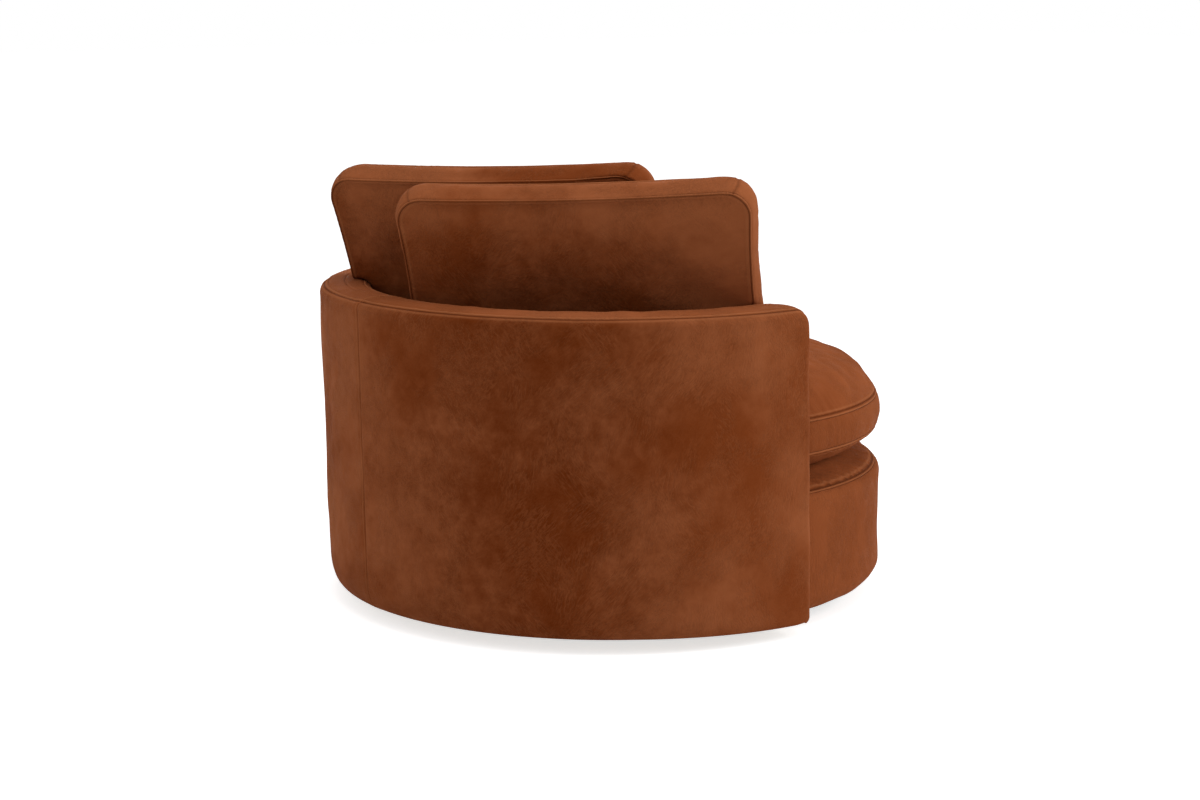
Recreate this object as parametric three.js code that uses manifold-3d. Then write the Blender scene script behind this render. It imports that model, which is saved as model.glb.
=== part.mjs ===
import * as THREE from "three";
import { mergeVertices } from "three/addons/utils/BufferGeometryUtils.js";
import Module from "manifold-3d";

// Round cuddle chair on a hidden swivel base.
// Lengths are millimetres, angles are radians. The sitter faces -Y, the floor is z = 0,
// and the swivel axis is the Z axis.

// Driving dimensions of the wrap-round shell
const shellRadius = 609;
const shellWall = 109;
const rimHeight = 677;
const floorGap = 30;
const rimRound = 18;
const armReach = THREE.MathUtils.degToRad(98.2);
const armCornerRadius = 36;
const rimLean = 15;
const rimCrownHeight = 5;
const shellHemDepth = 25;
const shellHemHeight = 61;
const hemLeast = 8;
const hemFadeStart = THREE.MathUtils.degToRad(60);
const innerCoverLow = 345;

// Driving dimensions of the round seat drum
const drumSetback = 42;
const drumRadius = shellRadius - drumSetback;
const drumForward = 35;
const drumHemDepth = 42;
const drumHemHeight = 40;
const drumShoulderRound = 30;
const deckSeamHeight = 288;
const deckRise = 47;
const deckShoulderWidth = 163;

// Leather, wadding, foam, boards and timber
const leather = 2;
const shellWadding = 10;
const rimPadding = 14;
const drumWadding = 12;
const bentBoard = 6;
const postWidth = 40;
const topRailDepth = 40;
const frontPostThickness = 28;
const plywood = 18;
const seatFrameDrop = 17;
const seatFrameRing = 167;
const seatFrameHole = drumRadius - seatFrameRing;
const springWire = 2;
const springSwing = 24;
const springSpacing = 150;
const drumPostWidth = 60;

// Loose seat cushion
const seatSetback = 11;
const seatSeamRadius = drumRadius - seatSetback;
const seatUnderDepth = 34.2;
const seatBorder = 67;
const seatBorderBulge = 11;
const seatCrownHeight = 90;

// Loose back cushions: seam to seam sizes, and how each one stands. A cushion's middle lies at a bearing
// from the centre back, at a distance from the shell's inner wall, and at a height above the seat.
const backWidth = 714;
const backHeight = 414;
const backBorder = 85;
const backBorderBulge = 13;
const backCrownHeight = 42;
const backCornerRadius = 30;
const backDrawIn = 6;
const backLean = THREE.MathUtils.degToRad(20);
const backRoll = THREE.MathUtils.degToRad(2.4);
const rightBackTurn = THREE.MathUtils.degToRad(46);
const rightBackBearing = THREE.MathUtils.degToRad(-46.2);
const rightBackFromWall = 158;
const rightBackAboveSeat = 189;
const leftBackTurn = THREE.MathUtils.degToRad(31.7);
const leftBackBearing = THREE.MathUtils.degToRad(0.7);
const leftBackFromWall = 235;
const leftBackAboveSeat = 207;

// Swivel base
const glideRadius = 15;
const glideHeight = 5.7;
const glideInset = 40;
const baseBoardRadius = 330;
const baseBoard = 15;
const swivelPlate = 3;
const swivelPlateRadius = 150;
const ballRadius = 4;
const ballCircle = 120;
const cageWidth = 18;
const cageThickness = 3;
const pivotRadius = 8;
const pivotHeadRadius = 14;
const pivotHeadHeight = 6;
const boltRadius = 3;
const boltHeadRadius = 6;
const boltHead = 3;
const boltLength = 14;
const baseBoltCircle = 95;
const frameBoltCircle = 72;
const dustCover = 1.6;

// Fits
const gap = 0.3;
const seamGap = 0.6;
const restGap = 0.8;
const sinkGap = 2;
const slideGap = 3;
const cutOverrun = 40;

// Counts
const arcSteps = 12;
const roundSteps = 3;
const hemSteps = 3;
const wallSteps = 1;
const crownSteps = 3;
const cushionSides = 44;
const cornerSteps = 3;
const longSideSteps = 12;
const shortSideSteps = 8;
const circleSides = 32;
const holeSides = 10;
const ballSides = 8;
const wireSides = 5;
const glideCount = 5;
const ballCount = 6;
const boltCount = 3;
const springTurns = 6;
const stepsPerTurn = 4;
const springCount = 4;
const postCount = 5;
const drumPostCount = 4;

// Worked out from the driving dimensions
const rightAngle = Math.PI / 2;
const seamAngleShare = 2 / 3;
const weldShare = 0.001;
const seamAngle = rightAngle * seamAngleShare;
const innerRadius = shellRadius - shellWall;
const armLength = shellRadius * armReach;
const cornerLength = armLength - armCornerRadius;
const cornerHeight = rimHeight - armCornerRadius;
const padLow = leather + gap;
const halfSeam = seamGap / 2 / rimRound;
const deckTop = deckSeamHeight + deckRise;
const seatLowSeam = deckTop + restGap + seatUnderDepth;
const seatHighSeam = seatLowSeam + seatBorder;

const wasm = await Module();
wasm.setup();

// Turns a mesh into a solid that can be cut, and back
function solidOf(geometry) {
  const bare = geometry.index ? geometry.clone() : mergeVertices(geometry.clone());
  bare.deleteAttribute("normal");
  bare.deleteAttribute("uv");
  const merged = mergeVertices(bare, gap * weldShare);
  return new wasm.Manifold(new wasm.Mesh({
    numProp: 3,
    vertProperties: new Float32Array(merged.attributes.position.array),
    triVerts: new Uint32Array(merged.index.array),
  }));
}

function geometryOf(solid) {
  const mesh = solid.getMesh();
  const geometry = new THREE.BufferGeometry();
  geometry.setAttribute("position", new THREE.BufferAttribute(new Float32Array(mesh.vertProperties), 3));
  geometry.setIndex(new THREE.BufferAttribute(new Uint32Array(mesh.triVerts), 1));
  return geometry;
}

// Closed mesh from a list of points and triangles, turned so that its faces point out
function closedGeometry(points, triangles) {
  let volume = 0;
  const cross = new THREE.Vector3();
  for (const [a, b, c] of triangles) {
    volume += points[a].dot(cross.crossVectors(points[b], points[c]));
  }
  const ordered = volume < 0 ? triangles.map(([a, b, c]) => [a, c, b]) : triangles;
  const geometry = new THREE.BufferGeometry().setFromPoints(points);
  geometry.setIndex(ordered.flat());
  return geometry;
}

// A sheet with thickness: two grids of points with the same rows and columns, joined round their edge
function slab(front, back) {
  const columns = front.length;
  const rows = front[0].length;
  const points = [...front.flat(), ...back.flat()];
  const at = (side, i, j) => side * columns * rows + i * rows + j;
  const triangles = [];
  for (let i = 0; i < columns - 1; i++) {
    for (let j = 0; j < rows - 1; j++) {
      triangles.push([at(0, i, j), at(0, i + 1, j), at(0, i + 1, j + 1)]);
      triangles.push([at(0, i, j), at(0, i + 1, j + 1), at(0, i, j + 1)]);
      triangles.push([at(1, i, j), at(1, i + 1, j + 1), at(1, i + 1, j)]);
      triangles.push([at(1, i, j), at(1, i, j + 1), at(1, i + 1, j + 1)]);
    }
  }
  const border = [];
  for (let i = 0; i < columns - 1; i++) {
    border.push([i, 0]);
  }
  for (let j = 0; j < rows - 1; j++) {
    border.push([columns - 1, j]);
  }
  for (let i = columns - 1; i > 0; i--) {
    border.push([i, rows - 1]);
  }
  for (let j = rows - 1; j > 0; j--) {
    border.push([0, j]);
  }
  border.forEach(([i, j], k) => {
    const [m, n] = border[(k + 1) % border.length];
    triangles.push([at(0, i, j), at(1, i, j), at(1, m, n)]);
    triangles.push([at(0, i, j), at(1, m, n), at(0, m, n)]);
  });
  return closedGeometry(points, triangles);
}

// Shell coordinates: radius r, length l round the shell from the centre back, and height z.
// The shell's rings slide back a little as they rise, by rimLean in all.
const leanAt = (z) => rimLean * (z - floorGap) / (rimHeight - floorGap);
const backReach = shellRadius + leanAt(rimHeight - rimRound);
const frontReach = drumForward + drumRadius;
const shellCentreY = (frontReach - backReach) / 2;
const drumCentreY = shellCentreY - drumForward;

function shellPoint(r, l, z) {
  const turn = l / shellRadius;
  return new THREE.Vector3(r * Math.sin(turn), shellCentreY + leanAt(z) + r * Math.cos(turn), z);
}

// Levels of the rounded edge: 0 is the flat wall, then the rounding from its start to the seam
const levelAngle = (level) => (level > 0 ? (level - 1) * (seamAngle - halfSeam) / roundSteps : 0);
const edgeReach = (angle, depth) => armCornerRadius - rimRound + (rimRound - depth) * Math.sin(angle);
const levelShare = (level) => (level > 0 ? edgeReach(levelAngle(level), 0) / armCornerRadius : 0);
const levels = Array.from({ length: roundSteps + 1 }, (_, k) => k + 1);

// Turn round the arm's top corner: level in from the front against level up to the rim
function cornerTurn(across, up) {
  const half = rightAngle / 2;
  return levelShare(up) >= levelShare(across)
    ? half * levelShare(across) / levelShare(up)
    : rightAngle - half * levelShare(up) / levelShare(across);
}

// Columns of half the shell, in order from the sitter's right to left, with side 1 on the left
function shellColumns(side, start) {
  const columns = Array.from({ length: arcSteps + 1 }, (_, i) => ({ l: cornerLength * i / arcSteps, level: 0, side }));
  columns[0].l = start;
  for (const level of levels) {
    columns.push({ l: cornerLength, level, side });
  }
  return side > 0 ? columns : columns.reverse();
}

const hemRows = Array.from({ length: hemSteps }, (_, k) => ({ hem: rightAngle * k / hemSteps, level: 0 }));
function wallRows(low) {
  const rows = [];
  for (let k = 0; k <= wallSteps; k++) {
    rows.push({ z: low + (cornerHeight - low) * k / wallSteps, level: 0 });
  }
  return [...rows, ...levels.map((level) => ({ z: cornerHeight, level }))];
}
const outerRows = [...hemRows, ...wallRows(floorGap + shellHemHeight)];

// How much of the bottom hem's rounding is left at a length round the shell: none at the arm fronts
function hemShareAt(l) {
  const start = hemFadeStart * shellRadius;
  return 1 - THREE.MathUtils.clamp((Math.abs(l) - start) / (cornerLength - start), 0, 1);
}

// A point of the shell's outer or inner face, at a depth under its leather surface
function facePoint(inside, column, row, depth) {
  const level = Math.max(column.level, row.level);
  const angle = levelAngle(level);
  const reach = level > 0 ? edgeReach(angle, depth) : 0;
  let l = column.level > 0 ? cornerLength + reach : column.l;
  let z = row.level > 0 ? cornerHeight + reach : row.z;
  if (column.level > 0 && row.level > 0) {
    const turn = cornerTurn(column.level, row.level);
    l = cornerLength + reach * Math.sin(turn);
    z = cornerHeight + reach * Math.cos(turn);
  }
  let inset = depth + (level > 0 ? (rimRound - depth) * (1 - Math.cos(angle)) : 0);
  const hemShare = hemShareAt(l);
  const hemHeight = Math.max(shellHemHeight * hemShare, depth + hemLeast);
  if (row.hem !== undefined) {
    const hemDepth = Math.max(shellHemDepth * hemShare, depth);
    z = floorGap + hemHeight - (hemHeight - depth) * Math.cos(row.hem);
    inset += (hemDepth - depth) * (1 - Math.sin(row.hem));
  }
  return shellPoint(inside ? innerRadius + inset : shellRadius - inset, l, z);
}

function faceSlab(inside, columns, rows, from, to) {
  const grid = (depth) => columns.map((column) => rows.map((row) => {
    const point = facePoint(inside, column, row, depth);
    point.x *= column.side;
    return point;
  }));
  return slab(grid(from), grid(to));
}

// The boxed band: along the rim, round the corner and down the arm front.
// A station is one place along it, a crossing is one place across it.
function bandStations(side, start) {
  const rim = Array.from({ length: arcSteps + 1 }, (_, i) => ({ l: i === 0 ? start : cornerLength * i / arcSteps }));
  const corner = [];
  for (const across of levels) {
    corner.push({ turn: cornerTurn(across, levels.length) });
  }
  for (const up of levels.slice(0, -1).reverse()) {
    corner.push({ turn: cornerTurn(levels.length, up) });
  }
  const front = [];
  for (let k = wallSteps; k >= 0; k--) {
    front.push({ z: floorGap + shellHemHeight + (cornerHeight - floorGap - shellHemHeight) * k / wallSteps });
  }
  front.push({ z: floorGap });
  const stations = [...rim, ...corner, ...front].map((station) => ({ ...station, side }));
  return side > 0 ? stations : stations.reverse();
}

function bandCrossings() {
  const start = seamAngle + halfSeam;
  const arc = Array.from({ length: 2 }, (_, k) => start + (rightAngle - start) * k);
  const outer = arc.map((angle) => ({ angle, inside: false }));
  const middle = Array.from({ length: crownSteps - 1 }, (_, k) => ({ share: (k + 1) / crownSteps }));
  const inner = [...arc].reverse().map((angle) => ({ angle, inside: true }));
  return [...outer, ...middle, ...inner];
}

function bandPoint(station, crossing, depth) {
  const flat = shellWall - 2 * rimRound;
  let r;
  let above;
  if (crossing.share !== undefined) {
    const share = crossing.share;
    r = shellRadius - rimRound - flat * share;
    above = 4 * rimCrownHeight * share * (1 - share) - depth;
  } else {
    const reach = rimRound - depth;
    const run = reach * Math.cos(crossing.angle);
    r = crossing.inside ? innerRadius + rimRound - run : shellRadius - rimRound + run;
    above = reach * Math.sin(crossing.angle) - rimRound;
  }
  let point;
  if (station.turn !== undefined) {
    const out = armCornerRadius + above;
    point = shellPoint(r, cornerLength + out * Math.sin(station.turn), cornerHeight + out * Math.cos(station.turn));
  } else if (station.l !== undefined) {
    point = shellPoint(r, station.l, rimHeight + above);
  } else {
    point = shellPoint(r, armLength + above, Math.max(station.z, floorGap));
  }
  point.x *= station.side;
  return point;
}

function bandSlab(stations, from, to) {
  const crossings = bandCrossings();
  const grid = (depth) => stations.map((station) => crossings.map((crossing) => bandPoint(station, crossing, depth)));
  return slab(grid(from), grid(to));
}

// A straight-sided block that follows the shell: bent boards, rails and posts
function shellBlock(lengths, rFrom, rTo, zFrom, zTo) {
  const wall = (r) => lengths.map((l) => [shellPoint(r, l, zFrom), shellPoint(r, l, zTo)]);
  return slab(wall(rTo), wall(rFrom));
}

function roundLengths(reach) {
  const list = [];
  for (let i = -arcSteps; i <= arcSteps; i++) {
    list.push(Math.sign(i) * Math.min(Math.abs(cornerLength * i / arcSteps), reach));
  }
  return list;
}

// Drum coordinates: radius r and turn b from the front, about the drum's own centre
const drumPoint = (r, b, z) => new THREE.Vector3(r * Math.sin(b), drumCentreY - r * Math.cos(b), z);
const armClear = rimCrownHeight + seamGap;

// The turn at which a ring of the drum meets the arm's front face, less the standing gap
function drumEnd(r, z) {
  const level = armClear + (drumCentreY - shellCentreY - leanAt(z)) * Math.sin(armReach);
  return Math.PI - armReach - Math.asin(level / r);
}

const shoulderHeight = deckSeamHeight - drumShoulderRound * Math.sin(seamAngle);
const shoulderRadius = drumRadius - drumShoulderRound;
const shoulderSlack = seamGap / 2 / drumShoulderRound;
const seatFrameHeight = shoulderHeight - seatFrameDrop;

function drumRows(depth) {
  const rows = [];
  for (let k = 0; k < hemSteps; k++) {
    const angle = rightAngle * k / hemSteps;
    rows.push({
      r: drumRadius - drumHemDepth + (drumHemDepth - depth) * Math.sin(angle),
      z: floorGap + drumHemHeight - (drumHemHeight - depth) * Math.cos(angle),
    });
  }
  rows.push({ r: drumRadius - depth, z: floorGap + drumHemHeight });
  for (let k = 0; k <= roundSteps; k++) {
    const angle = (seamAngle - shoulderSlack) * k / roundSteps;
    const reach = drumShoulderRound - depth;
    rows.push({ r: shoulderRadius + reach * Math.cos(angle), z: shoulderHeight + reach * Math.sin(angle) });
  }
  return rows;
}

// Turns shared by everything round about the drum's centre, from one arm front to the other
const drumTurn = 2 * Math.PI / cushionSides;
const leastTurnShare = 0.02;
const drumTurnCount = Math.floor((drumEnd(drumRadius, floorGap) - drumTurn * leastTurnShare) / drumTurn);
function drumTurns(end) {
  const turns = [-end];
  for (let k = -drumTurnCount; k <= drumTurnCount; k++) {
    turns.push(k * drumTurn);
  }
  return [...turns, end];
}

function drumGrid(rows) {
  const count = drumTurns(0).length;
  return Array.from({ length: count }, (_, i) => rows.map(({ r, z }) => drumPoint(r, drumTurns(drumEnd(r, z))[i], z)));
}

// Plan outline of what fits between the arms: one radius inside the shell, another in front of the arms.
// Past the inner wall's radius the outline stops short of the arm fronts, at the reach given.
const seatClearRadius = innerRadius - slideGap;
function seatOutline(insideRadius, frontRadius, z, reach = armReach) {
  const centreY = shellCentreY + leanAt(z);
  const round = (r, turn) => new THREE.Vector2(r * Math.sin(turn), centreY + r * Math.cos(turn));
  const narrow = Math.min(insideRadius, seatClearRadius);
  const half = [];
  for (let i = 0; i < arcSteps; i++) {
    half.push(round(insideRadius, cornerLength / shellRadius * i / arcSteps));
  }
  half.push(round(insideRadius, reach));
  if (narrow < insideRadius) {
    half.push(round(narrow, reach));
  }
  half.push(round(narrow, armReach + Math.asin(armClear / narrow)));
  const turns = drumTurns(drumEnd(frontRadius, z)).reverse();
  for (const turn of turns.filter((b) => b > 0)) {
    const point = drumPoint(frontRadius, turn, z);
    half.push(new THREE.Vector2(point.x, point.y));
  }
  const front = drumPoint(frontRadius, 0, z);
  const mirrored = half.slice(1).reverse().map(({ x, y }) => new THREE.Vector2(-x, y));
  return [...half, new THREE.Vector2(front.x, front.y), ...mirrored].reverse();
}

function plate(points, thickness, z, holes = []) {
  const shape = new THREE.Shape(points);
  for (const { x, y, radius, sides = circleSides } of holes) {
    shape.holes.push(new THREE.Path(circlePoints(radius, y, sides, x).reverse()));
  }
  const geometry = new THREE.ExtrudeGeometry(shape, { depth: thickness, bevelEnabled: false });
  return geometry.translate(0, 0, z);
}

function circlePoints(radius, centreY = 0, sides = circleSides, centreX = 0) {
  return Array.from({ length: sides }, (_, i) => {
    const turn = 2 * Math.PI * i / sides;
    return new THREE.Vector2(centreX + radius * Math.cos(turn), centreY + radius * Math.sin(turn));
  });
}

function ringPlaces(count, radius, start = 0) {
  return Array.from({ length: count }, (_, i) => {
    const turn = start + 2 * Math.PI * i / count;
    return { x: radius * Math.cos(turn), y: radius * Math.sin(turn) };
  });
}

// Lathe about Z: the profile is a list of [radius, height]
function turned(profile, centreY, sides) {
  const points = profile.map(([r, z]) => new THREE.Vector2(r, z));
  return new THREE.LatheGeometry(points, sides).rotateX(rightAngle).translate(0, centreY, 0);
}

const chair = new THREE.Group();

function finish(color, roughness, metalness = 0) {
  return new THREE.MeshStandardMaterial({ color, roughness, metalness });
}
const hide = finish(0x7a4424, 0.7);
const hideLight = finish(0x87502f, 0.7);
const timber = finish(0xc9a777, 0.8);
const foamStuff = finish(0xe8dcae, 0.95);
const fibre = finish(0xf1efe9, 1);
const steel = finish(0x8d9094, 0.4, 1);
const plastic = finish(0x26262a, 0.6);
const cloth = finish(0x2f2d2c, 0.95);

function add(name, geometry, material) {
  const mesh = new THREE.Mesh(geometry, material);
  mesh.name = name;
  chair.add(mesh);
}

// Swivel base: glides under a round board, and a ball race between two steel plates
const baseBoardLow = glideHeight + gap;
const lowerPlateLow = baseBoardLow + baseBoard + gap;
const ballLow = lowerPlateLow + swivelPlate + gap;
const upperPlateLow = ballLow + 2 * ballRadius + gap;
const bottomBoardLow = upperPlateLow + swivelPlate + gap;
const bottomBoardTop = bottomBoardLow + plywood;
const baseBolts = ringPlaces(boltCount, baseBoltCircle);
const frameBolts = ringPlaces(boltCount, frameBoltCircle, Math.PI / boltCount);
const boltHoles = (places) => places.map(({ x, y }) => ({ x, y, radius: boltRadius + 2 * gap, sides: holeSides }));

ringPlaces(glideCount, baseBoardRadius - glideInset, rightAngle).forEach(({ x, y }, i) => {
  const profile = [[0, 0], [glideRadius - gap, 0], [glideRadius, glideHeight], [0, glideHeight]];
  const glide = turned(profile, 0, circleSides / 2);
  add(`floor_glide_${i + 1}`, glide.translate(x, y, 0), plastic);
});
add("base_board", plate(circlePoints(baseBoardRadius), baseBoard, baseBoardLow, boltHoles(baseBolts)), timber);
add("lower_swivel_plate", plate(circlePoints(swivelPlateRadius), swivelPlate, lowerPlateLow, boltHoles(baseBolts)), steel);
baseBolts.forEach(({ x, y }, i) => {
  const profile = [[0, ballLow - boltLength], [boltRadius, ballLow - boltLength], [boltRadius, ballLow],
    [boltHeadRadius, ballLow], [boltHeadRadius, ballLow + boltHead], [0, ballLow + boltHead]];
  add(`base_bolt_${i + 1}`, turned(profile, 0, holeSides).translate(x, y, 0), steel);
});
const pivotTop = bottomBoardLow + pivotHeadHeight;
const pivotProfile = [[0, ballLow], [pivotRadius, ballLow], [pivotRadius, bottomBoardLow],
  [pivotHeadRadius, bottomBoardLow], [pivotHeadRadius, pivotTop], [0, pivotTop]];
add("swivel_pivot", turned(pivotProfile, 0, circleSides / 2), steel);

const ballPlaces = ringPlaces(ballCount, ballCircle, Math.PI / ballCount);
const cageLow = ballLow + ballRadius - cageThickness / 2;
const ballHoles = ballPlaces.map(({ x, y }) => ({ x, y, radius: ballRadius + 2 * gap, sides: holeSides }));
const cageBore = { x: 0, y: 0, radius: ballCircle - cageWidth / 2 };
add("ball_cage", plate(circlePoints(ballCircle + cageWidth / 2), cageThickness, cageLow, [cageBore, ...ballHoles]), plastic);
ballPlaces.forEach(({ x, y }, i) => {
  const ball = new THREE.SphereGeometry(ballRadius, ballSides, ballSides / 2).rotateX(rightAngle);
  add(`race_ball_${i + 1}`, ball.translate(x, y, ballLow + ballRadius), steel);
});

// Turning frame: upper plate, bottom board, posts, rails and bent boards
const pivotHole = { x: 0, y: 0, radius: pivotRadius + gap };
const headHole = { x: 0, y: 0, radius: pivotHeadRadius + slideGap };
const upperHoles = [pivotHole, ...boltHoles(frameBolts)];
add("upper_swivel_plate", plate(circlePoints(swivelPlateRadius), swivelPlate, upperPlateLow, upperHoles), steel);
frameBolts.forEach(({ x, y }, i) => {
  const low = upperPlateLow - gap - boltHead;
  const top = low + boltHead + boltLength;
  const profile = [[0, low], [boltHeadRadius, low], [boltHeadRadius, low + boltHead],
    [boltRadius, low + boltHead], [boltRadius, top], [0, top]];
  add(`frame_bolt_${i + 1}`, turned(profile, 0, holeSides).translate(x, y, 0), steel);
});

const frontPostFace = armLength - rimPadding - padLow - gap;
const boardReach = (frontPostFace - slideGap) / shellRadius;
const boardOutside = shellRadius - shellHemDepth - slideGap;
const drumInside = drumRadius - drumHemDepth - gap;
const boardOutline = seatOutline(boardOutside, drumInside, floorGap, boardReach);
add("bottom_board", plate(boardOutline, plywood, bottomBoardLow, [headHole, ...boltHoles(frameBolts)]), timber);
const dustHole = { x: 0, y: 0, radius: swivelPlateRadius + slideGap };
const dustRadius = drumInside - cageWidth;
add("dust_cover", plate(circlePoints(dustRadius, drumCentreY), dustCover, bottomBoardLow - gap - dustCover, [dustHole]), cloth);

const outerBoardOutside = shellRadius - padLow - shellWadding - gap;
const outerBoardInside = outerBoardOutside - bentBoard;
const railOutside = shellRadius - rimRound - slideGap;
const railInside = innerRadius + rimRound + slideGap;
const innerBoardOutside = railInside + bentBoard;
const postOutside = outerBoardInside - gap;
const postInside = innerBoardOutside + gap;
const frameLow = bottomBoardTop + gap;
const railTop = rimHeight - padLow - rimPadding - gap;
const railLow = railTop - topRailDepth;
const postTop = railLow - gap;
for (let i = 0; i < postCount; i++) {
  const middle = cornerLength * (2 * i / (postCount - 1) - 1) * seamAngleShare * (1 + 1 / postCount);
  const lengths = [middle - postWidth / 2, middle + postWidth / 2];
  const sag = postWidth * postWidth / shellRadius;
  add(`shell_post_${i + 1}`, shellBlock(lengths, postInside + sag, postOutside - sag, frameLow, postTop), timber);
}
const railReach = frontPostFace - frontPostThickness - gap;
add("top_rail", shellBlock(roundLengths(railReach), railInside, railOutside, railLow, railTop), timber);
for (const [name, side] of [["left", 1], ["right", -1]]) {
  const lengths = [side * (frontPostFace - frontPostThickness), side * frontPostFace];
  const geometry = shellBlock(lengths, railInside, railOutside, frameLow, cornerHeight);
  add(`arm_front_post_${name}`, geometry, timber);
}
const boardLow = floorGap + shellHemHeight;
const wallTop = cornerHeight - gap;
const bentLengths = roundLengths(cornerLength - gap);
add("outer_bent_board", shellBlock(bentLengths, outerBoardInside, outerBoardOutside, boardLow, wallTop), timber);
add("inner_bent_board", shellBlock(roundLengths(railReach), railInside, innerBoardOutside, frameLow, postTop), timber);

// Shell upholstery: foam, wadding and the leather covers
const foamInside = innerRadius + padLow;
add("back_foam", shellBlock(bentLengths, foamInside, railInside - gap, innerCoverLow, wallTop), foamStuff);
const wholeColumns = [...shellColumns(-1, 0).slice(0, -1), ...shellColumns(1, 0)];
add("outer_wadding", faceSlab(false, wholeColumns, outerRows, padLow, padLow + shellWadding), fibre);
add("inner_cover", faceSlab(true, wholeColumns, wallRows(innerCoverLow), 0, leather), hide);
const padStations = [...bandStations(-1, 0).slice(0, -1), ...bandStations(1, 0)];
add("rim_pad", bandSlab(padStations, padLow, padLow + rimPadding), foamStuff);
for (const [name, side] of [["left", 1], ["right", -1]]) {
  const columns = shellColumns(side, seamGap / 2);
  add(`outer_cover_${name}`, faceSlab(false, columns, outerRows, 0, leather), hide);
  add(`rim_band_${name}`, bandSlab(bandStations(side, seamGap / 2), 0, leather), hideLight);
}

// Drum: bent front board, wadding and cover, and the sprung deck
const frontBoardOutside = drumRadius - padLow - drumWadding - gap;
const frontBoardInside = frontBoardOutside - bentBoard;
const seatFrameTop = seatFrameHeight + plywood;
const frontBoardRows = (r) => [{ r, z: floorGap + drumHemHeight }, { r, z: shoulderHeight }];
add("drum_front_board", slab(drumGrid(frontBoardRows(frontBoardOutside)), drumGrid(frontBoardRows(frontBoardInside))), timber);
add("drum_wadding", slab(drumGrid(drumRows(padLow)), drumGrid(drumRows(padLow + drumWadding))), fibre);
add("drum_cover", slab(drumGrid(drumRows(0)), drumGrid(drumRows(leather))), hide);

const drumPostRadius = (seatFrameHole + frontBoardInside) / 2;
ringPlaces(drumPostCount, drumPostRadius, Math.PI / drumPostCount).forEach(({ x, y }, i) => {
  const height = seatFrameHeight - gap - frameLow;
  const post = new THREE.BoxGeometry(drumPostWidth, drumPostWidth, height);
  add(`drum_post_${i + 1}`, post.translate(x, y + drumCentreY, frameLow + height / 2), timber);
});
const frameOutline = seatOutline(railInside - gap, frontBoardInside - gap, seatFrameHeight, boardReach);
const frameHole = { x: 0, y: drumCentreY, radius: seatFrameHole };
add("seat_frame", plate(frameOutline, plywood, seatFrameHeight, [frameHole]), timber);

class SpringPath extends THREE.Curve {
  constructor(x) {
    super();
    this.x = x;
  }

  getPoint(share, target = new THREE.Vector3()) {
    const half = Math.sqrt(seatFrameHole ** 2 - this.x ** 2) + drumPostWidth / 2;
    const swing = springSwing * Math.sin(2 * Math.PI * springTurns * share);
    return target.set(this.x + swing, drumCentreY + half * (2 * share - 1), seatFrameTop + gap + springWire);
  }
}
for (let i = 0; i < springCount; i++) {
  const path = new SpringPath(springSpacing * (i - (springCount - 1) / 2));
  const wire = new THREE.Shape(circlePoints(springWire, 0, wireSides));
  const settings = { steps: springTurns * stepsPerTurn, extrudePath: path, bevelEnabled: false };
  add(`seat_spring_${i + 1}`, new THREE.ExtrudeGeometry(wire, settings), steel);
}

// The deck rises from its seam in a soft shoulder to a level top
const deckSeamRadius = shoulderRadius + drumShoulderRound * Math.cos(seamAngle);
function deckHeight(r) {
  const share = THREE.MathUtils.clamp((deckSeamRadius - r) / deckShoulderWidth, 0, 1);
  return deckSeamHeight + deckRise * (1 - (1 - share) ** 2);
}
const seatSpace = solidOf(plate(seatOutline(seatClearRadius, drumRadius + cutOverrun, seatFrameHeight), rimHeight, 0));
function cutToSeat(geometry) {
  return geometryOf(solidOf(geometry).intersect(seatSpace));
}
const deckEdge = (depth, slack) => {
  const angle = seamAngle + slack;
  const reach = drumShoulderRound - depth;
  return [shoulderRadius + reach * Math.cos(angle), shoulderHeight + reach * Math.sin(angle)];
};
const deckShoulderSteps = 4;
function deckLine(depth) {
  const line = [];
  for (let k = deckShoulderSteps; k >= 1; k--) {
    const r = deckSeamRadius - deckShoulderWidth * k / deckShoulderSteps;
    line.push([r, deckHeight(r) - depth]);
  }
  line.push(deckEdge(depth, shoulderSlack));
  return line;
}
const deckLow = seatFrameTop + gap + 2 * springWire + gap;
const coverProfile = [[0, deckTop - leather], ...deckLine(leather), ...deckLine(0).reverse(), [0, deckTop]];
add("deck_cover", cutToSeat(turned(coverProfile, drumCentreY, cushionSides)), hide);
const padEdge = deckEdge(padLow + drumWadding + gap, shoulderSlack);
const padProfile = [[0, deckLow], [padEdge[0], deckLow], padEdge, ...deckLine(padLow).reverse(), [0, deckTop - padLow]];
add("deck_foam", cutToSeat(turned(padProfile, drumCentreY, cushionSides)), foamStuff);

// Loose seat cushion: crowned top, bulged border between two seams, and a crowned underside
const seatCrownPower = 8;
const seatShares = [0.3, 0.6, 0.78, 0.88, 0.95];
const crownAt = (share, height) => height * (1 - share ** seatCrownPower);
const seatProfile = [[0, seatLowSeam - seatUnderDepth]];
for (const share of seatShares) {
  seatProfile.push([seatSeamRadius * share, seatLowSeam - crownAt(share, seatUnderDepth)]);
}
seatProfile.push([seatSeamRadius, seatLowSeam]);
for (const share of [1 / 4, 1 / 2, 3 / 4]) {
  const bulge = seatBorderBulge * Math.sin(Math.PI * share);
  seatProfile.push([seatSeamRadius + bulge, seatLowSeam + seatBorder * share]);
}
seatProfile.push([seatSeamRadius, seatHighSeam]);
for (const share of [...seatShares].reverse()) {
  seatProfile.push([seatSeamRadius * share, seatHighSeam + crownAt(share, seatCrownHeight)]);
}
seatProfile.push([0, seatHighSeam + seatCrownHeight]);
add("seat_cushion", cutToSeat(turned(seatProfile, drumCentreY, cushionSides)), hide);

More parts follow.
